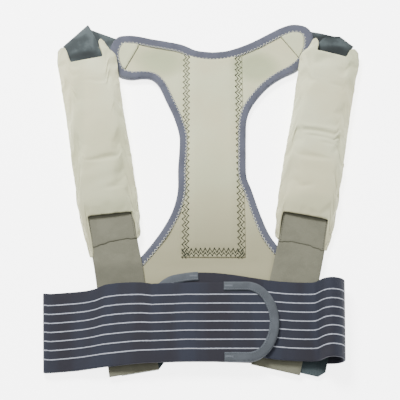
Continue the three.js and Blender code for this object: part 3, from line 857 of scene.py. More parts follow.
class BRACE_OT_spine_channel(Operator):
    """Stitched channel along the spine, with its zigzag rows"""

    bl_idname = "brace.spine_channel"
    bl_label = "Spine channel"

    def execute(self, context):
        def place(s, t):
            x = mix(-CHANNEL_HALF, CHANNEL_HALF, t)
            y = mix(CHANNEL_LOW, neck_line(x) - NECK_TAPE - 0.2, s)
            x *= channel_side(x, y) / CHANNEL_HALF
            return x, y, channel_top(x, y)

        def measure(s, t):
            x, y, _ = place(s, t)
            return x * MM, y * MM

        bm = grid_sheet(120, 48, place, measure)
        face_up(bm)
        piece = finish_piece(bm, "channel", "panel_knit", ["spine_channel"])
        thicken(piece, CHANNEL_THICK, downward=True)
        legs = self.legs(sizes().quilt_pitch / MM)
        # Dark thread blobs at each needle hole: partly thread, partly painted shade in the dimple
        hole_thread_and_shade = [((x, y - 0.7, z + 0.15), (x, y + 0.7, z + 0.15)) for (x, y, z), _ in legs]
        sew("channel_stitches", legs, "quilt_thread", 1.3)
        sew("channel_needle_holes", hole_thread_and_shade, "quilt_thread", 2.5)
        return {"FINISHED"}

    def legs(self, pitch):
        """Two zigzags up each side and two across the foot, without those under the tape."""
        foot_end = ROW_X + ROW_HALF
        foot = [(-foot_end, ROW_FOOT_Y), (0, ROW_FOOT_Y + 0.8), (foot_end, ROW_FOOT_Y)]
        rows = []
        for x in (-ROW_X, ROW_X):
            column = [(x, CHANNEL_LOW), (x, neck_line(x) - NECK_TAPE - 0.5)]
            rows += [(column, COLUMN_PITCH, -ROW_HALF, -0.2), (column, COLUMN_PITCH, 0.2, ROW_HALF)]
        rows += [(foot, 1, -4.2, -0.3), (foot, 1, 0.3, 3.6)]
        legs = []
        for line, share, low, high in rows:
            line = [Vector((*p, 0)) for p in line]
            legs += zigzag(line, pitch * share, low, high, channel_top, (STITCH_RISE, STITCH_RISE))
        return [leg for leg in legs if all(abs(x) < channel_side(x, y) + 1.0 for x, y, _ in leg)]


class BRACE_OT_shoulder_patches(Operator):
    """Facings on the shoulder lobes, with a dark thread line along their seams that also paints the shadow at
    the facing's edge
    """

    bl_idname = "brace.shoulder_patches"
    bl_label = "Shoulder patches"

    def execute(self, context):
        for side in SIDES:
            top, low = (Vector(p) for p in SEAMS[side])
            run = (low - top).normalized()
            spine_side = Vector((-run.y, run.x)) * (1 if run.y * top.x > 0 else -1)

            def height(x, y):
                away = (Vector((x, y)) - top).dot(spine_side)
                return panel_top(x, y) + 0.35 + 0.85 * ease((0.2 - away) / 2.5)

            bm = cut_sheet(panel_outline(NECK_TAPE + 0.2), 2.0, height, [(top, spine_side)])
            piece = finish_piece(bm, f"lobe_patch_{side}", "lobe_knit", [f"shoulder_patch_{side}"])
            thicken(piece, PATCH_THICK, downward=True)
            # The seam's dark thread runs unbroken: partly a real seam, partly painted shadow along the
            # facing's edge
            line = [Vector((*(p + spine_side * 0.4), 0)) for p in (top, low)]
            sew(f"lobe_seam_and_shadow_{side}", running(line, 1.5, 1.0, panel_top), "quilt_thread", 1.5)
        return {"FINISHED"}


# A tape's section: share of its width inward, millimetres outward, height over its underside
TAPE_PROFILE = [
    (-1.0, 0.0, -0.65), (-0.5, 0.0, -0.65), (0.0, 0.0, -0.6), (0.0, 0.5, 0.1), (0.0, 0.65, 1.5),
    (0.0, 0.5, 2.9), (0.0, 0.0, 3.6), (-0.5, 0.0, 3.9), (-0.85, 0.0, 3.75), (-1.0, 0.0, 3.5),
]


def taper(s, narrow):
    """A tape's share of its width at s, which is narrow at both of its ends."""
    return mix(narrow, 1.0, ease(min(s, 1 - s) * 7))


def wrap_tape(line, level, width, sheet_thick, pitch, seed, puff=0.15, narrow=1.0):
    """Tape folded over an edge: line is the edge, its inner side on the right, level(p) the underside."""
    spread = sheet_thick - PANEL_THICK
    across = 16
    along = round(run_length(line) / pitch)
    profile = [
        (share * width + out, z if z < 1 else z + spread if z > 2 else z + spread / 2)
        for share, out, z in TAPE_PROFILE
    ]
    shape = curve_through([(out, z, 0) for out, z in profile], across + 1)
    sides = inward_normals(line)
    count = len(line) - 1
    runs = runs_along(line)
    girth = run_length(shape)

    def place(s, t):
        i, part = step_at(s, count)
        p = line[i].lerp(line[i + 1], part)
        side = sides[i].lerp(sides[i + 1], part)
        out, z = shape[round(t * across)][:2]
        out *= taper(s, narrow) if out < 0 else 1
        run = mix(runs[i], runs[i + 1], part)
        soft = puff * rumple(run, out, 6, seed) * (1 if z > 1 else 0)
        edge = p - side * (out + 0.3 * rumple(run, 0, 5, seed + 3) * (out < -width * 0.9))
        return edge.x, edge.y, max(TAPE_THICK / 2, level(edge) + z + soft)

    def measure(s, t):
        i, part = step_at(s, count)
        return mix(runs[i], runs[i + 1], part) * MM, (t - 0.5) * girth * MM

    return grid_sheet(along, across, place, measure), runs[-1], girth


def edge_top(x, y):
    """Height of the panel's top beside its tape."""
    return max(panel_top(x, y), panel_level(y) + PANEL_THICK)


class BRACE_OT_edge_tape(Operator):
    """Edge tape along the neckline and armholes, with its zigzag stitching"""

    bl_idname = "brace.edge_tape"
    bl_label = "Edge tape"

    def execute(self, context):
        runs = {
            "armhole_binding_right": RIGHT_LINE[NECK_STEPS:TAPE_END],
            "neck_binding": [*reversed(LEFT_LINE[1:NECK_STEPS + 1]), *RIGHT_LINE[:NECK_STEPS + 1]],
            "armhole_binding_left": list(reversed(LEFT_LINE[NECK_STEPS:TAPE_END])),
        }
        pitch = sizes().edge_pitch / MM
        legs = []
        for seed, (node, line) in enumerate(runs.items()):
            width = NECK_TAPE if node == "neck_binding" else TAPE_WIDTH
            narrow = TAPE_WIDTH / width
            bm, length, girth = wrap_tape(
                line, lambda p: panel_level(p.y), width, PANEL_THICK, 1.6, seed, narrow=narrow
            )
            piece = finish_piece(bm, node.replace("binding", "tape"), "edge_tape", [node])
            thicken(piece, TAPE_THICK)
            inner = raised(line, lambda i: width * taper(i / len(line), narrow))
            legs += zigzag(inner, pitch, -1.9, 0.6, edge_top, (1.3, 0.5))
        sew("edge_stitches", legs, "pale_thread", 0.95)
        return {"FINISHED"}


# The shoulder pads' own directions, as in the solids
PADS = {
    "left": {"sign": -1, "out": 146.8, "lean": 0.17, "foot": 80.5, "foot_lean": 0.17},
    "right": {"sign": 1, "out": 137.4, "lean": 0.178, "foot": 61.5, "foot_lean": 0.235},
}
PAD_OVER_LOBE = OVER_ELASTIC + PANEL_THICK + GAP + TAPE_THICK + GAP + 1.6
PAD_UNDERSIDE = ELASTIC_THICK + GAP + 0.2
FOOT_LIFT = 4.2
SLOT_MIDDLE = SLEEVE_WALL + SLOT_HEIGHT / 2

# Cross-section of a pad: across and up as shares, flat below and crowned above
SLEEVE_SECTION = [
    (0.5, 0.42), (0.487, 0.18), (0.43, 0.03), (0.25, 0), (0, 0), (-0.25, 0), (-0.43, 0.03),
    (-0.487, 0.18), (-0.5, 0.42), (-0.478, 0.68), (-0.4, 0.87), (-0.22, 0.97), (0, 1), (0.22, 0.97),
    (0.4, 0.87), (0.478, 0.68),
]
# Along a pad from its top: share of its length, of its width and of its crown
SLEEVE_ROWS = [
    (0, 0.97, 0.86), (0.09, 1.02, 0.97), (0.2, 1.0, 1.04), (0.4, 0.98, 1.08), (0.6, 0.99, 1.06),
    (0.76, 0.98, 1.02), (0.86, 0.96, 0.95), (0.93, 0.9, 0.82), (1, 0.84, 0.76),
]
# Shoulder elastics as in the solids: in and out edges (out from the pad's middle, on beyond its
# top, as shares of the elastic's width) and their levels, 0 on the surface and 1 in the pad
ELASTIC_ROWS = {
    "left": [
        (-1.72, -0.33, -0.92, -0.93, 0, 0), (-1.0, 0.13, -0.2, -0.47, 0, 0),
        (-0.27, 0.6, 0.54, 0.0, 0, 0), (-0.2, 0.65, 0.605, 0.05, 0.12, 0.12),
        (-0.175, 0.675, 0.63, 0.075, 0.45, 0.45), (-0.195, 0.645, 0.615, 0.055, 0.8, 0.85),
        (-0.24, 0.5, 0.59, 0.0, 0.96, 1), (-0.36, 0.03, 0.56, -0.12, 1, 1),
        (-0.47, -0.53, 0.53, -0.45, 1, 1),
    ],
    "right": [
        (-1.5, 0.3, -1.6, -0.45, 0, 0), (-0.95, 0.44, -1.0, -0.47, 0, 0),
        (-0.45, 0.46, -0.2, -0.45, 0, 0), (-0.05, 0.4, 0.4, -0.16, 0.2, 0),
        (0.16, 0.35, 0.61, 0.06, 0.55, 0.15), (0.2, 0.31, 0.64, 0.085, 0.85, 0.5),
        (0.14, 0.27, 0.62, 0.06, 1.08, 0.85), (-0.05, 0.22, 0.59, 0.01, 1.12, 1),
        (-0.3, 0.08, 0.56, -0.14, 1.02, 1), (-0.46, -0.48, 0.53, -0.5, 1, 1),
    ],
}
ELASTIC_IN = -1.4
ELASTIC_END = -3.4


class PadDirections:
    """Turns distances out from a pad's middle and on beyond its top into places."""

    def __init__(self, side):
        pad = PADS[side]
        self.sign = pad["sign"]
        length = math.hypot(1, pad["lean"])
        self.on = Vector((self.sign * pad["lean"] / length, 1 / length))
        self.outward = Vector((self.sign * self.on.y, -self.sign * self.on.x))
        self.top = Vector((self.sign * pad["out"], SLEEVE_TOP_Y))

    def base(self, out, on):
        inner = clamp01(0.5 - out / SLEEVE_WIDTH)
        down = -on / SLEEVE_LENGTH
        high = mix(PAD_UNDERSIDE, PAD_OVER_LOBE, inner)
        return high * (1 - ease((down - 0.24) / 0.5)) + FOOT_LIFT * inner * ease((down - 0.78) / 0.22)

    def spot(self, out, on, z):
        p = self.top + self.outward * out + self.on * on
        return Vector((p.x, p.y, z))


def row_value(rows, along, column):
    for a, b in zip(rows, rows[1:]):
        if along <= b[0]:
            return mix(a[column], b[column], ease((along - a[0]) / (b[0] - a[0])))
    return rows[-1][column]


class BRACE_OT_shoulder_elastics(Operator):
    """Dark elastics that fold over beyond the pads and run into them"""

    bl_idname = "brace.shoulder_elastics"
    bl_label = "Shoulder elastics"

    def execute(self, context):
        for side in SIDES:
            pad = PadDirections(side)

            def edge(out_share, on_share, level):
                out, on = out_share * ELASTIC_WIDTH, on_share * ELASTIC_WIDTH
                return pad.spot(out, on, mix(ELASTIC_THICK / 2, pad.base(out, on) + SLOT_MIDDLE, level))

            rows = ELASTIC_ROWS[side]
            edge_in = [edge(r[0], r[1], r[4]) for r in rows]
            edge_out = [edge(r[2], r[3], r[5]) for r in rows]
            for i in range(7):
                on = mix(ELASTIC_IN, ELASTIC_END, i / 6)
                edge_in.append(edge(-0.5, on, 1))
                edge_out.append(edge(0.5, on, 1))

            def lift(s, t, p):
                soft = 0.35 * rumple(p.x, p.y, 9, 5) * ease(min(t, 1 - t) * 5)
                return Vector((0, 0, max(0.0, soft) if p.z < 2 else soft))

            steps = SPAN_STEPS * (len(rows) + 6)
            bm, length = ribbon(steps, self.smooth(edge_in), self.smooth(edge_out), 14, lift)
            piece = finish_piece(bm, f"elastic_{side}", "dark_elastic", [f"shoulder_elastic_{side}"])
            thicken(piece, ELASTIC_THICK)
        return {"FINISHED"}

    def smooth(self, knots):
        """A smooth line with the same number of steps between every two knots."""
        out = []
        for i in range(len(knots) - 1):
            p0, p1 = knots[max(0, i - 1)], knots[i]
            p2, p3 = knots[i + 1], knots[min(len(knots) - 1, i + 2)]
            d = max(1e-6, (p2 - p1).length)
            m1 = (p2 - p0) * (d / max(1e-6, (p2 - p1).length + (p1 - p0).length))
            m2 = (p3 - p1) * (d / max(1e-6, (p3 - p2).length + (p2 - p1).length))
            out += [hermite(p1, p2, m1, m2, k / SPAN_STEPS) for k in range(SPAN_STEPS)]
        return [*out, knots[-1].copy()]


# Where the pads' front walls and ears end: half width of the notches, how far the front wall
# starts below the top on its inner and outer side, and how far the ears stand
NOTCHES = {
    "left": {
        "half": 21.5, "front_in": 25.5, "front_out": 24.5, "ear_in": 0.5, "ear_out": -1.0,
        "foot_half": 28.0, "foot_in": 36.0, "foot_out": 39.0, "foot_ear_in": -4.0, "foot_ear_out": 9.0,
    },
    "right": {
        "half": 21.5, "front_in": 15.0, "front_out": 18.0, "ear_in": 2.0, "ear_out": -3.0,
        "foot_half": 28.0, "foot_in": 36.0, "foot_out": 34.5, "foot_ear_in": -2.0, "foot_ear_out": 2.0,
    },
}
# How far the inner ear of a pad's top leans outward, how round the ears are and about what share
# of the width, how softly the notches turn, and how far inside both ends the underside stays
EAR_LEAN = 9.0
EAR_ROUND = 5.0
EAR_MIDDLE = 0.42
NOTCH_SOFT = 2.2
UNDER_START = 6.0
UNDER_END = 14.0
PAD_WALL = 2.4
# Steps round a pad and along it, and the seed of its unevenness
PAD_AROUND = 76
PAD_ALONG = 104
PAD_SEEDS = {"left": 11, "right": 17}
# The filling's cloth settings, frames, and how firmly its underside and face are held
FILLING = {
    "quality": 6, "mass": 0.2, "tension_stiffness": 12, "compression_stiffness": 12,
    "bending_stiffness": 1.2, "shrink_min": -0.02, "use_pressure": True,
    "uniform_pressure_force": 4, "vertex_group_mass": "Held",
}
FILLING_FRAMES = 20
UNDER_HELD = 0.55
FACE_HELD = 0.04
# Cross wrinkles of the pads: out and down of both ends, width and depth
WRINKLES = {
    "left": [(-30, 150, 30, 168, 9, 0.5), (-20, 176, 28, 186, 8, 0.45), (-10, 96, 26, 112, 10, 0.35)],
    "right": [
        (-33, 124, 34, 124, 4.5, 2.1), (-18, 129, 34, 131, 3.2, 1.5), (2, 134, 34, 137, 3.0, 1.1),
        (4, 112, 28, 114, 6, 0.45), (-30, 168, 20, 172, 10, 0.35),
    ],
}


def wrinkle_depth(side, out, down):
    depth = 0.0
    for o1, d1, o2, d2, width, deep in WRINKLES[side]:
        a, b = Vector((o1, d1)), Vector((o2, d2))
        run = b - a
        share = clamp01((Vector((out, down)) - a).dot(run) / run.length_squared)
        near = a + run * share
        bow = 2.5 * math.sin(share * math.pi)
        off = down - near.y + bow + rumple(out, down, 14, 8)
        fade = ease(share * 5) * ease((1 - share) * 5)
        depth += deep * fade * (bell(off / width) - 0.55 * bell((off + width * 0.9) / width))
    return depth


class BRACE_OT_shoulder_pads(Operator):
    """Padded sleeves over the straps: open tubes with an ear on each side of both mouths"""

    bl_idname = "brace.shoulder_pads"
    bl_label = "Shoulder pads"

    def execute(self, context):
        for side in SIDES:
            piece = self.tube(side)
            self.fill(piece)
            self.shape(piece, side)
            wall = piece.modifiers.new("Wall", "SOLIDIFY")
            wall.thickness = PAD_WALL * MM
            wall.offset = -1.0
            soft = piece.modifiers.new("Soft", "SUBSURF")
            soft.levels = 1
            soft.render_levels = 1
        return {"FINISHED"}

    def tube(self, side):
        pad = PadDirections(side)
        cut = NOTCHES[side]
        around = PAD_AROUND
        section = curve_through([(a, u, 0) for a, u in SLEEVE_SECTION], around, closed=True)
        # The tube's seam lies underneath
        shift = min(range(around), key=lambda i: section[i].y + abs(section[i].x))
        section = [section[(i + shift) % around] for i in range(around + 1)]

        def limits(a, u):
            """How far down from the top this lengthwise line starts and ends."""
            out = a * SLEEVE_WIDTH
            outer = clamp01(0.5 + a)
            front = ease((u - 0.5) / 0.12)
            top_notch = front * ease((cut["half"] - abs(out)) / NOTCH_SOFT + 0.5)
            foot_notch = front * ease((cut["foot_half"] - abs(out)) / NOTCH_SOFT + 0.5)
            ear_top = mix(-cut["ear_in"], -cut["ear_out"], outer)
            ear_round = EAR_ROUND * 8 * abs(abs(a) - EAR_MIDDLE)
            start = mix(ear_top + ear_round, mix(cut["front_in"], cut["front_out"], outer), top_notch)
            ear_foot = SLEEVE_LENGTH + mix(cut["foot_ear_in"], cut["foot_ear_out"], outer)
            end = mix(
                ear_foot - ear_round, SLEEVE_LENGTH - mix(cut["foot_in"], cut["foot_out"], outer), foot_notch
            )
            if u < 0.35:
                start = max(start, UNDER_START)
                end = min(end, SLEEVE_LENGTH - UNDER_END)
            return start, end

        def place(s, t):
            a, u = section[round(t * around)][:2]
            start, end = limits(a, u)
            down = mix(start, end, s)
            along = clamp01(down / SLEEVE_LENGTH)
            width = row_value(SLEEVE_ROWS, along, 1) * 0.985
            crown = row_value(SLEEVE_ROWS, along, 2) * 0.94
            out = a * SLEEVE_WIDTH * width
            out += EAR_LEAN * ease((28 - down) / 26) * clamp01(-2 * a)
            return pad.spot(out, -down, pad.base(out, -down) + 0.2 + u * SLEEVE_THICK * crown)

        def measure(s, t):
            return s * SLEEVE_LENGTH * MM, t * 2 * SLEEVE_WIDTH * MM

        bm = grid_sheet(PAD_ALONG, around, place, measure)
        bmesh.ops.remove_doubles(bm, verts=bm.verts[:], dist=1e-6)
        bmesh.ops.recalc_face_normals(bm, faces=bm.faces[:])
        top = max(bm.faces, key=lambda f: f.calc_center_median().z)
        if top.normal.z < 0:
            bmesh.ops.reverse_faces(bm, faces=bm.faces[:])
        return finish_piece(bm, f"pad_{side}", "pad_knit", [f"pad_sleeve_{side}"])

    def fill(self, piece):
        """Lets the tube swell like a filled pad, its mouths and underside held."""
        start = [v.co.copy() for v in piece.data.vertices]
        held = piece.vertex_groups.new(name="Held")
        counts = Counter(key for polygon in piece.data.polygons for key in polygon.edge_keys)
        rim = {corner for key, count in counts.items() if count == 1 for corner in key}
        held.add(sorted(rim), 1.0, "REPLACE")
        for v, normal in zip(piece.data.vertices, piece.data.vertex_normals):
            if v.index not in rim:
                held.add([v.index], UNDER_HELD if normal.vector.z < -0.2 else FACE_HELD, "REPLACE")
        cloth = piece.modifiers.new("Filling", "CLOTH")
        for key, value in FILLING.items():
            setattr(cloth.settings, key, value)
        cloth.settings.effector_weights.gravity = 0
        cloth.collision_settings.use_collision = False
        scene = bpy.context.scene
        for number in range(1, FILLING_FRAMES + 1):
            scene.frame_set(number)
        graph = bpy.context.evaluated_depsgraph_get()
        filled = piece.evaluated_get(graph).data
        limit = sizes().pad_swell
        steps = [v.co - before for before, v in zip(start, filled.vertices)]
        moved = [
            before + (step * (limit / step.length) if step.length > limit else step)
            for before, step in zip(start, steps)
        ]
        piece.modifiers.remove(cloth)
        scene.frame_set(1)
        for v, co in zip(piece.data.vertices, moved):
            v.co = co
        piece.data.update()

    def shape(self, piece, side):
        """Presses in the wrinkles and keeps the pad above what it lies on."""
        pad = PadDirections(side)
        mesh = piece.data
        normals = [n.vector.copy() for n in mesh.vertex_normals]
        seed = PAD_SEEDS[side]
        for v, normal in zip(mesh.vertices, normals):
            x, y, z = (v.co.x - SPINE_X) / MM, (v.co.y - BELT_Y) / MM, v.co.z / MM
            away = Vector((x, y)) - pad.top
            out, down = away.dot(pad.outward), -away.dot(pad.on)
            if normal.z > 0.1:
                deep = wrinkle_depth(side, out, down) * ease(normal.z * 2)
                soft = 0.45 * rumple(x, y, 30, seed) + 0.18 * rumple(x, y, 12, seed + 1)
                v.co += normal * ((soft - deep) * MM)
            else:
                v.co.z = max(z, pad.base(out, -down) + 0.1) * MM
        mesh.update()


# How far each webbing reaches beyond its hook tab's foot
TAILS = {"left": 4.0, "right": 0.5}
WEBBING_STEPS = 180
# The webbing's second layer: heights up the back of its sewn end's inner and outer corner, bow of that end,
# thickness, and where across it its side stitches run
DOUBLE_ENDS = {"left": (92.5, 82.0), "right": (89.0, 79.0)}
DOUBLE_BOW = 3.0
DOUBLE_THICK = 1.0
DOUBLE_SEAMS = (0.05, 0.95)


def webbing_stations(side):
    """The edges of the webbing from inside the pad to beyond the belt."""
    pad = PadDirections(side)
    half = WEBBING_WIDTH / 2
    inner, outer = [], []
    start = ELASTIC_END * ELASTIC_WIDTH - 1
    for i in range(13):
        on = mix(start, -SLEEVE_LENGTH, i / 12)
        inner.append(pad.spot(-half, on, pad.base(-half, on) + SLOT_MIDDLE))
        outer.append(pad.spot(half, on, pad.base(half, on) + SLOT_MIDDLE))
    turn = math.atan(PADS[side]["foot_lean"])
    middle = Vector((pad.sign * PADS[side]["foot"], -BELT_HALF - WEBBING_OVERHANG))
    on = Vector((pad.sign * math.sin(turn), math.cos(turn)))
    outward = Vector((pad.sign * on.y, -pad.sign * on.x))
    low = OVER_BELT + HOOK_THICK + GAP + WEBBING_THICK / 2
    high = WEBBING_LEVEL + WEBBING_THICK / 2
    climbs = [
        (64, high), (BELT_HALF - 4, high), (0, high), (-PANEL_FOOT - 7, high), (-PANEL_FOOT - 18, low),
        (-BELT_HALF - WEBBING_OVERHANG - TAILS[side], low),
    ]
    for y, z in climbs:
        p = middle + on * ((y - middle.y) / on.y)
        inner.append(Vector((*(p - outward * half), z)))
        outer.append(Vector((*(p + outward * half), z)))
    return inner, outer


class BRACE_OT_webbing(Operator):
    """Webbing straps from the pads to the belt, doubled where they are sewn to the pads"""

    bl_idname = "brace.webbing"
    bl_label = "Webbing"

    def execute(self, context):
        for side in SIDES:
            inner, outer = webbing_stations(side)
            edge_a = curve_through(inner, WEBBING_STEPS + 1)
            edge_b = curve_through(outer, WEBBING_STEPS + 1)
            bm, length = ribbon(WEBBING_STEPS, edge_a, edge_b, 16)
            piece = finish_piece(bm, f"webbing_strap_{side}", "grey_webbing", [f"webbing_{side}"])
            thicken(piece, WEBBING_THICK)
            self.double(side, edge_a, edge_b)
        return {"FINISHED"}

    def double(self, side, edge_a, edge_b):
        """The second layer, from inside the pad to its bowed sewn end, with its stitches."""
        ends = DOUBLE_ENDS[side]

        def line(t, y_stop):
            points = [a.lerp(b, t) for a, b in zip(edge_a, edge_b)]
            return [p for p in points if p.y >= y_stop]

        def place(s, t):
            stop = mix(*ends, t) - DOUBLE_BOW * (2 * t - 1) ** 2 + 2.5
            points = line(mix(0.015, 0.985, t), stop)
            i, part = step_at(s, len(points) - 1)
            p = points[i].lerp(points[i + 1], part)
            return p.x, p.y, p.z + WEBBING_THICK / 2 + mix(0.25, 0.65, ease((1 - s) * 60))

        def measure(s, t):
            return s * 0.16, (t - 0.5) * WEBBING_WIDTH * MM

        bm = grid_sheet(110, 16, place, measure)
        piece = finish_piece(bm, f"webbing_double_{side}", "grey_webbing")
        thicken(piece, DOUBLE_THICK)
        legs = []
        for t in DOUBLE_SEAMS:
            points = line(t, mix(*ends, t) - 1)[60:]
            rise = WEBBING_THICK / 2 + 1.15
            places = {round(p.y, 3): p.z for p in points}

            def height(x, y):
                near = min(places, key=lambda key: abs(key - y))
                return places[near] + rise

            legs += running(points, 3.0, 0.55, height)
        sew(f"webbing_stitches_{side}", legs, "webbing_thread", 1.3)


class BRACE_OT_hook_tabs(Operator):
    """Hook tabs under the feet of the webbing, with softened edges"""

    bl_idname = "brace.hook_tabs"
    bl_label = "Hook tabs"

    def execute(self, context):
        for side in SIDES:
            node = f"hook_tab_{side}"
            bm = bmesh.new()
            bm.from_mesh(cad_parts[node].data)
            bmesh.ops.remove_doubles(bm, verts=bm.verts[:], dist=1e-5)
            bmesh.ops.dissolve_limit(bm, angle_limit=math.radians(3), verts=bm.verts[:], edges=bm.edges[:])
            bmesh.ops.bevel(
                bm, geom=bm.edges[:], offset=0.35 * MM, offset_type="OFFSET", segments=2, profile=0.5,
                affect="EDGES", material=-1, clamp_overlap=True,
            )
            finish_piece(bm, f"hook_{side}", "hook_plastic", [node], smooth=False)
        return {"FINISHED"}


def droop(x):
    """How far down the back the left wing has slid at x."""
    return -9 * ease((-x - 20) / (BELT_LEFT * 1.15)) * 1.3


def climb(x):
    """How far up the back the right wing has slid at x."""
    return 11 * ease((BELT_RIGHT - CURL_RUN - 20 - x) / 95) - 7.5 * ease((-15 - x) / 55)


# The left wing from its middle to the fold: share of its reach, height, bulge of its top edge
LEFT_WING = [
    (-0.05, 12.5, 0), (0.06, 12.2, 0), (0.15, 12.5, 0), (0.26, 11.9, 0), (0.37, 12.5, 0),
    (0.43, 12.4, 0.5), (0.5, 11.4, 0.8), (0.58, 9.9, 1), (0.65, 9.1, 0.9), (0.705, 8.2, 0.2),
    (0.75, 6.9, 0), (0.8, 5.7, 0), (0.86, 5.2, 0), (0.96, 5.1, 0),
]
CURL = [
    (0.45, 0), (0.72, 0.03), (0.88, 0.12), (0.97, 0.27), (1.0, 0.45), (0.98, 0.64), (0.87, 0.84),
    (0.7, 0.96), (0.52, 1), (0.35, 0.94), (0.22, 0.8), (0.12, 0.62), (0.03, 0.46), (-0.08, 0.38),
]
EDGE_BULGE = 4.5
BELT_STEPS = 420
# How far the left wing lies below the layers under it, and how the two loops lean
WING_SAG = 1.2
LOOP_LEAN = ((-1, 130, 40, -1.75, -0.065), (1, 100, 30, -1.9, 0.045))


def belt_path():
    """The belt's run: x, shift up the back, height of its middle, half width below and above."""
    mid = BELT_THICK / 2
    knots = []

    def end_half(x, tip, sign):
        into = clamp01((tip - x) * sign / END_ROUND)
        return BELT_HALF * math.sqrt(max(0.004, 1 - (1 - into) ** 2))

    rounding = (0.01, 0.06, 0.14, 0.25, 0.4, 0.6, 0.8, 1)
    tip = LEFT_TIP - TRIM_THICK - GAP
    for share in rounding:
        x = tip - share * END_ROUND
        half = end_half(x, tip, 1)
        knots.append((x, -WING_SAG, LEFT_WING_LEVEL + mid, half, half))
    for share, z, bulge in LEFT_WING:
        x = -share * BELT_LEFT
        knots.append((x, droop(x) - WING_SAG, z + mid, BELT_HALF, BELT_HALF + bulge * EDGE_BULGE))
    radius = FOLD_HEIGHT * 0.98 / 2
    for turn in (0.25, 0.5, 0.75):
        x = -BELT_LEFT + mid + radius - radius * math.sin(turn * math.pi)
        knots.append((x, droop(x), mid + radius * (1 + math.cos(turn * math.pi)), BELT_HALF, BELT_HALF))
    for share in (-0.96, -0.8, -0.6, -0.4, -0.2, 0, 0.5):
        x = share * (BELT_LEFT if share < 0 else BELT_RIGHT)
        hidden = 2.2 if -0.7 < share < 0.3 else 0
        knots.append((x, droop(x), mid, BELT_HALF - hidden, BELT_HALF))
    foot = BELT_RIGHT - mid - CURL_RUN
    flat = RIGHT_WING_LEVEL / (CURL_HEIGHT - BELT_THICK)
    for run, up in CURL:
        up = flat if run < 0 else max(up, flat + 0.04 if run < 0.1 else 0)
        knots.append((foot + run * CURL_RUN, 0, mid + up * (CURL_HEIGHT - BELT_THICK), BELT_HALF, BELT_HALF))
    for share in (0.8, 0.6, 0.4, 0.2, 0, -0.2):
        x = share * foot
        knots.append((x, climb(x), RIGHT_WING_LEVEL + mid, BELT_HALF, BELT_HALF))
    tip = RIGHT_TIP + TRIM_THICK + GAP
    for share in reversed(rounding):
        x = tip + share * END_ROUND
        half = end_half(x, tip, -1)
        knots.append((x, climb(x), RIGHT_WING_LEVEL + mid, half, half))
    return knots


class BRACE_OT_waist_belt(Operator):
    """Striped waist belt: back stretch, left fold and wing, open curl and right wing"""

    bl_idname = "brace.waist_belt"
    bl_label = "Waist belt"

    def execute(self, context):
        knots = belt_path()
        line = curve_through([k[:3] for k in knots], BELT_STEPS + 1)
        places = [Vector(k[:3]) for k in knots]
        halves = []
        j = 0
        for p in line:
            while j < len(places) - 2 and (p - places[j]).length > (places[j + 1] - places[j]).length:
                j += 1
            share = clamp01((p - places[j]).length / (places[j + 1] - places[j]).length)
            halves.append([mix(knots[j][k], knots[j + 1][k], share) for k in (3, 4)])
        runs = [0.0]
        for a, b in zip(line, line[1:]):
            runs.append(runs[-1] + math.hypot(b.x - a.x, b.z - a.z))

        def place(s, t):
            i = round(s * BELT_STEPS)
            p = line[i]
            low, high = halves[i]
            y = mix(-low, high, t)
            wave = 0.3 * rumple(p.x, y, 26, 21) * ease(min(t, 1 - t) * 4) if p.z > 6 else 0
            lean = 0.0
            for sign, start, reach, shift, skew in LOOP_LEAN:
                lean += (shift + skew * y) * ease((p.x * sign - start) / reach)
            return p.x + lean, p.y + y, p.z + wave

        def measure(s, t):
            low, high = halves[round(s * BELT_STEPS)]
            y = mix(-low, min(high, BELT_HALF + 1e-3), t)
            return runs[round(s * BELT_STEPS)] * MM, y * MM

        bm = grid_sheet(BELT_STEPS, 40, place, measure)
        piece = finish_piece(bm, "belt", "belt_elastic", ["waist_belt"])
        thicken(piece, BELT_THICK)
        return {"FINISHED"}


# Steps along each arm of a trim and round its end
ARM_STEPS = 14
ROUND_STEPS = 48


def wing_end(tip, sign, shift):
    """The edge line of a wing's rounded end, its inner side on the right, from arm end to arm end."""
    inner_tip = tip - sign * (TRIM_THICK + GAP)
    middle = inner_tip - sign * END_ROUND
    arm = middle - sign * TRIM_ARM
    points = [Vector((mix(arm, middle, i / ARM_STEPS), BELT_HALF)) for i in range(ARM_STEPS)]
    for i in range(ROUND_STEPS + 1):
        turn = math.pi / 2 - i / ROUND_STEPS * math.pi
        points.append(Vector((middle + sign * END_ROUND * math.cos(turn), BELT_HALF * math.sin(turn))))
    points += [Vector((mix(middle, arm, i / ARM_STEPS), -BELT_HALF)) for i in range(1, ARM_STEPS + 1)]
    if sign < 0:
        points.reverse()
    return [Vector((p.x, p.y + shift(p.x))) for p in points]


# Where the bar tack at an arm's end starts and stops, from that end
TACK = (1.0, 9.0)


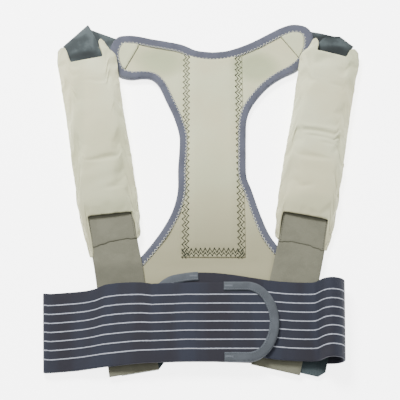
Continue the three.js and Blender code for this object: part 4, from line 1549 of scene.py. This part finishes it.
class BRACE_OT_belt_trims(Operator):
    """Grey tape round the rounded ends of the wings, with bar tacks at the tape's ends"""

    bl_idname = "brace.belt_trims"
    bl_label = "Belt trims"

    def execute(self, context):
        ends = (
            ("left", LEFT_TIP, 1, LEFT_WING_LEVEL, lambda x: -WING_SAG),
            ("right", RIGHT_TIP, -1, RIGHT_WING_LEVEL, climb),
        )
        for name, tip, sign, level, shift in ends:
            line = wing_end(tip, sign, shift)
            bm, length, girth = wrap_tape(
                line, lambda p: level, TRIM_WIDTH, BELT_THICK, 1.5, 30 + sign, 0.1
            )
            piece = finish_piece(bm, f"trim_{name}", "belt_trim", [f"belt_trim_{name}"])
            thicken(piece, TRIM_THICK)
            top = level + BELT_THICK + GAP + TRIM_THICK + 0.25
            inner = raised(line, lambda i: TRIM_WIDTH - 1.4)
            legs = zigzag(inner, 2.4, -0.6, 0.9, lambda x, y: top)
            for end in (inner[0], inner[-1]):
                away = 1 if end.y > shift(end.x) else -1
                tack = [Vector((end.x + sign * run, end.y + away * 3.4, 0)) for run in TACK]
                legs += zigzag(tack, 1.1, -1.4, 1.4, lambda x, y: top)
            sew(f"trim_stitches_{name}", legs, "trim_thread", 0.85)
        return {"FINISHED"}


FLOOR_HALF = 12.0
FLOOR_DROP = 0.0004
FLOOR_GLOW = 4.5
WORLD_LIGHT = 0.5
# Name, place, size and power of each lamp
LAMPS = (
    ("Key", (-0.55, 0.95, 1.25), 0.7, 62),
    ("Fill", (0.9, -0.2, 1.4), 1.4, 10),
    ("Front", (0.0, -1.3, 1.1), 1.2, 5),
)
# The place that the camera looks at, its height in degrees, its distance in metres and its lens
VIEW_TARGET = (-14, 142, 0)
VIEW_ELEVATION = 64
VIEW_DISTANCE = 1.2
VIEW_LENS = 100


class BRACE_OT_stage(Operator):
    """Plain pale floor, soft studio light and the camera"""

    bl_idname = "brace.stage"
    bl_label = "Stage"

    def execute(self, context):
        bm = bmesh.new()
        bmesh.ops.create_grid(bm, x_segments=2, y_segments=2, size=FLOOR_HALF)
        bmesh.ops.translate(bm, verts=bm.verts[:], vec=(0, 0, -FLOOR_DROP))
        mesh = bpy.data.meshes.new("floor")
        bm.to_mesh(mesh)
        bm.free()
        floor = bpy.data.objects.new("floor", mesh)
        context.scene.collection.objects.link(floor)
        paper = Finish("floor_paper", roughness=0.95, Emission_Strength=FLOOR_GLOW)
        paper.shader.inputs["Emission Color"].default_value = colour("floor")
        grain = paper.span(paper.noise(30, 2.0), 0.3, 0.7, 0.0, 0.03)
        mesh.materials.append(paper.finish(paper.blend(grain, colour("floor"), shade(colour("floor"), 0.97))))
        self.light(context)
        self.camera(context)
        return {"FINISHED"}

    def light(self, context):
        world = bpy.data.worlds.new("Studio")
        world.use_nodes = True
        background = world.node_tree.nodes["Background"]
        background.inputs["Color"].default_value = (1, 1, 1, 1)
        background.inputs["Strength"].default_value = WORLD_LIGHT
        context.scene.world = world
        for name, place, size, power in LAMPS:
            lamp = bpy.data.lights.new(name, "AREA")
            lamp.shape = "DISK"
            lamp.size = size
            lamp.energy = power
            holder = bpy.data.objects.new(name, lamp)
            holder.location = place
            holder.rotation_euler = (-Vector(place)).to_track_quat("-Z", "Y").to_euler()
            context.scene.collection.objects.link(holder)

    def camera(self, context):
        elevation = math.radians(VIEW_ELEVATION)
        back = Vector((0, -math.cos(elevation), math.sin(elevation))) * VIEW_DISTANCE
        view = bpy.data.cameras.new("View")
        view.lens = VIEW_LENS
        view.sensor_width = 36
        holder = bpy.data.objects.new("View", view)
        holder.location = at(*VIEW_TARGET) + back
        holder.rotation_euler = (math.pi / 2 - elevation, 0, 0)
        context.scene.collection.objects.link(holder)
        context.scene.camera = holder


STEPS = (
    BRACE_OT_stage, BRACE_OT_waist_belt, BRACE_OT_back_panel, BRACE_OT_spine_channel,
    BRACE_OT_shoulder_patches, BRACE_OT_edge_tape, BRACE_OT_shoulder_elastics,
    BRACE_OT_shoulder_pads, BRACE_OT_webbing, BRACE_OT_hook_tabs, BRACE_OT_belt_trims,
)


class VIEW3D_PT_brace(Panel):
    """Lists the brace's pieces, sizes and colours"""

    bl_label = "Posture corrector"
    bl_idname = "VIEW3D_PT_brace"
    bl_space_type = "VIEW_3D"
    bl_region_type = "UI"
    bl_category = "Brace"

    def draw(self, context):
        for step in STEPS:
            self.layout.operator(step.bl_idname)
        for group in (context.scene.brace_sizes, context.scene.brace_colours):
            for key in group.bl_rna.properties.keys():
                if key not in ("rna_type", "name"):
                    self.layout.prop(group, key)


CLASSES = (BraceSizes, BraceColours, *STEPS, VIEW3D_PT_brace)


def register():
    for item in CLASSES:
        bpy.utils.register_class(item)
    bpy.types.Scene.brace_sizes = PointerProperty(type=BraceSizes)
    bpy.types.Scene.brace_colours = PointerProperty(type=BraceColours)


def unregister():
    del bpy.types.Scene.brace_colours
    del bpy.types.Scene.brace_sizes
    for item in reversed(CLASSES):
        bpy.utils.unregister_class(item)


def main():
    """Builds the brace piece by piece."""
    register()
    for step in STEPS:
        group, action = step.bl_idname.split(".")
        getattr(getattr(bpy.ops, group), action)()


if __name__ == "__main__":
    main()
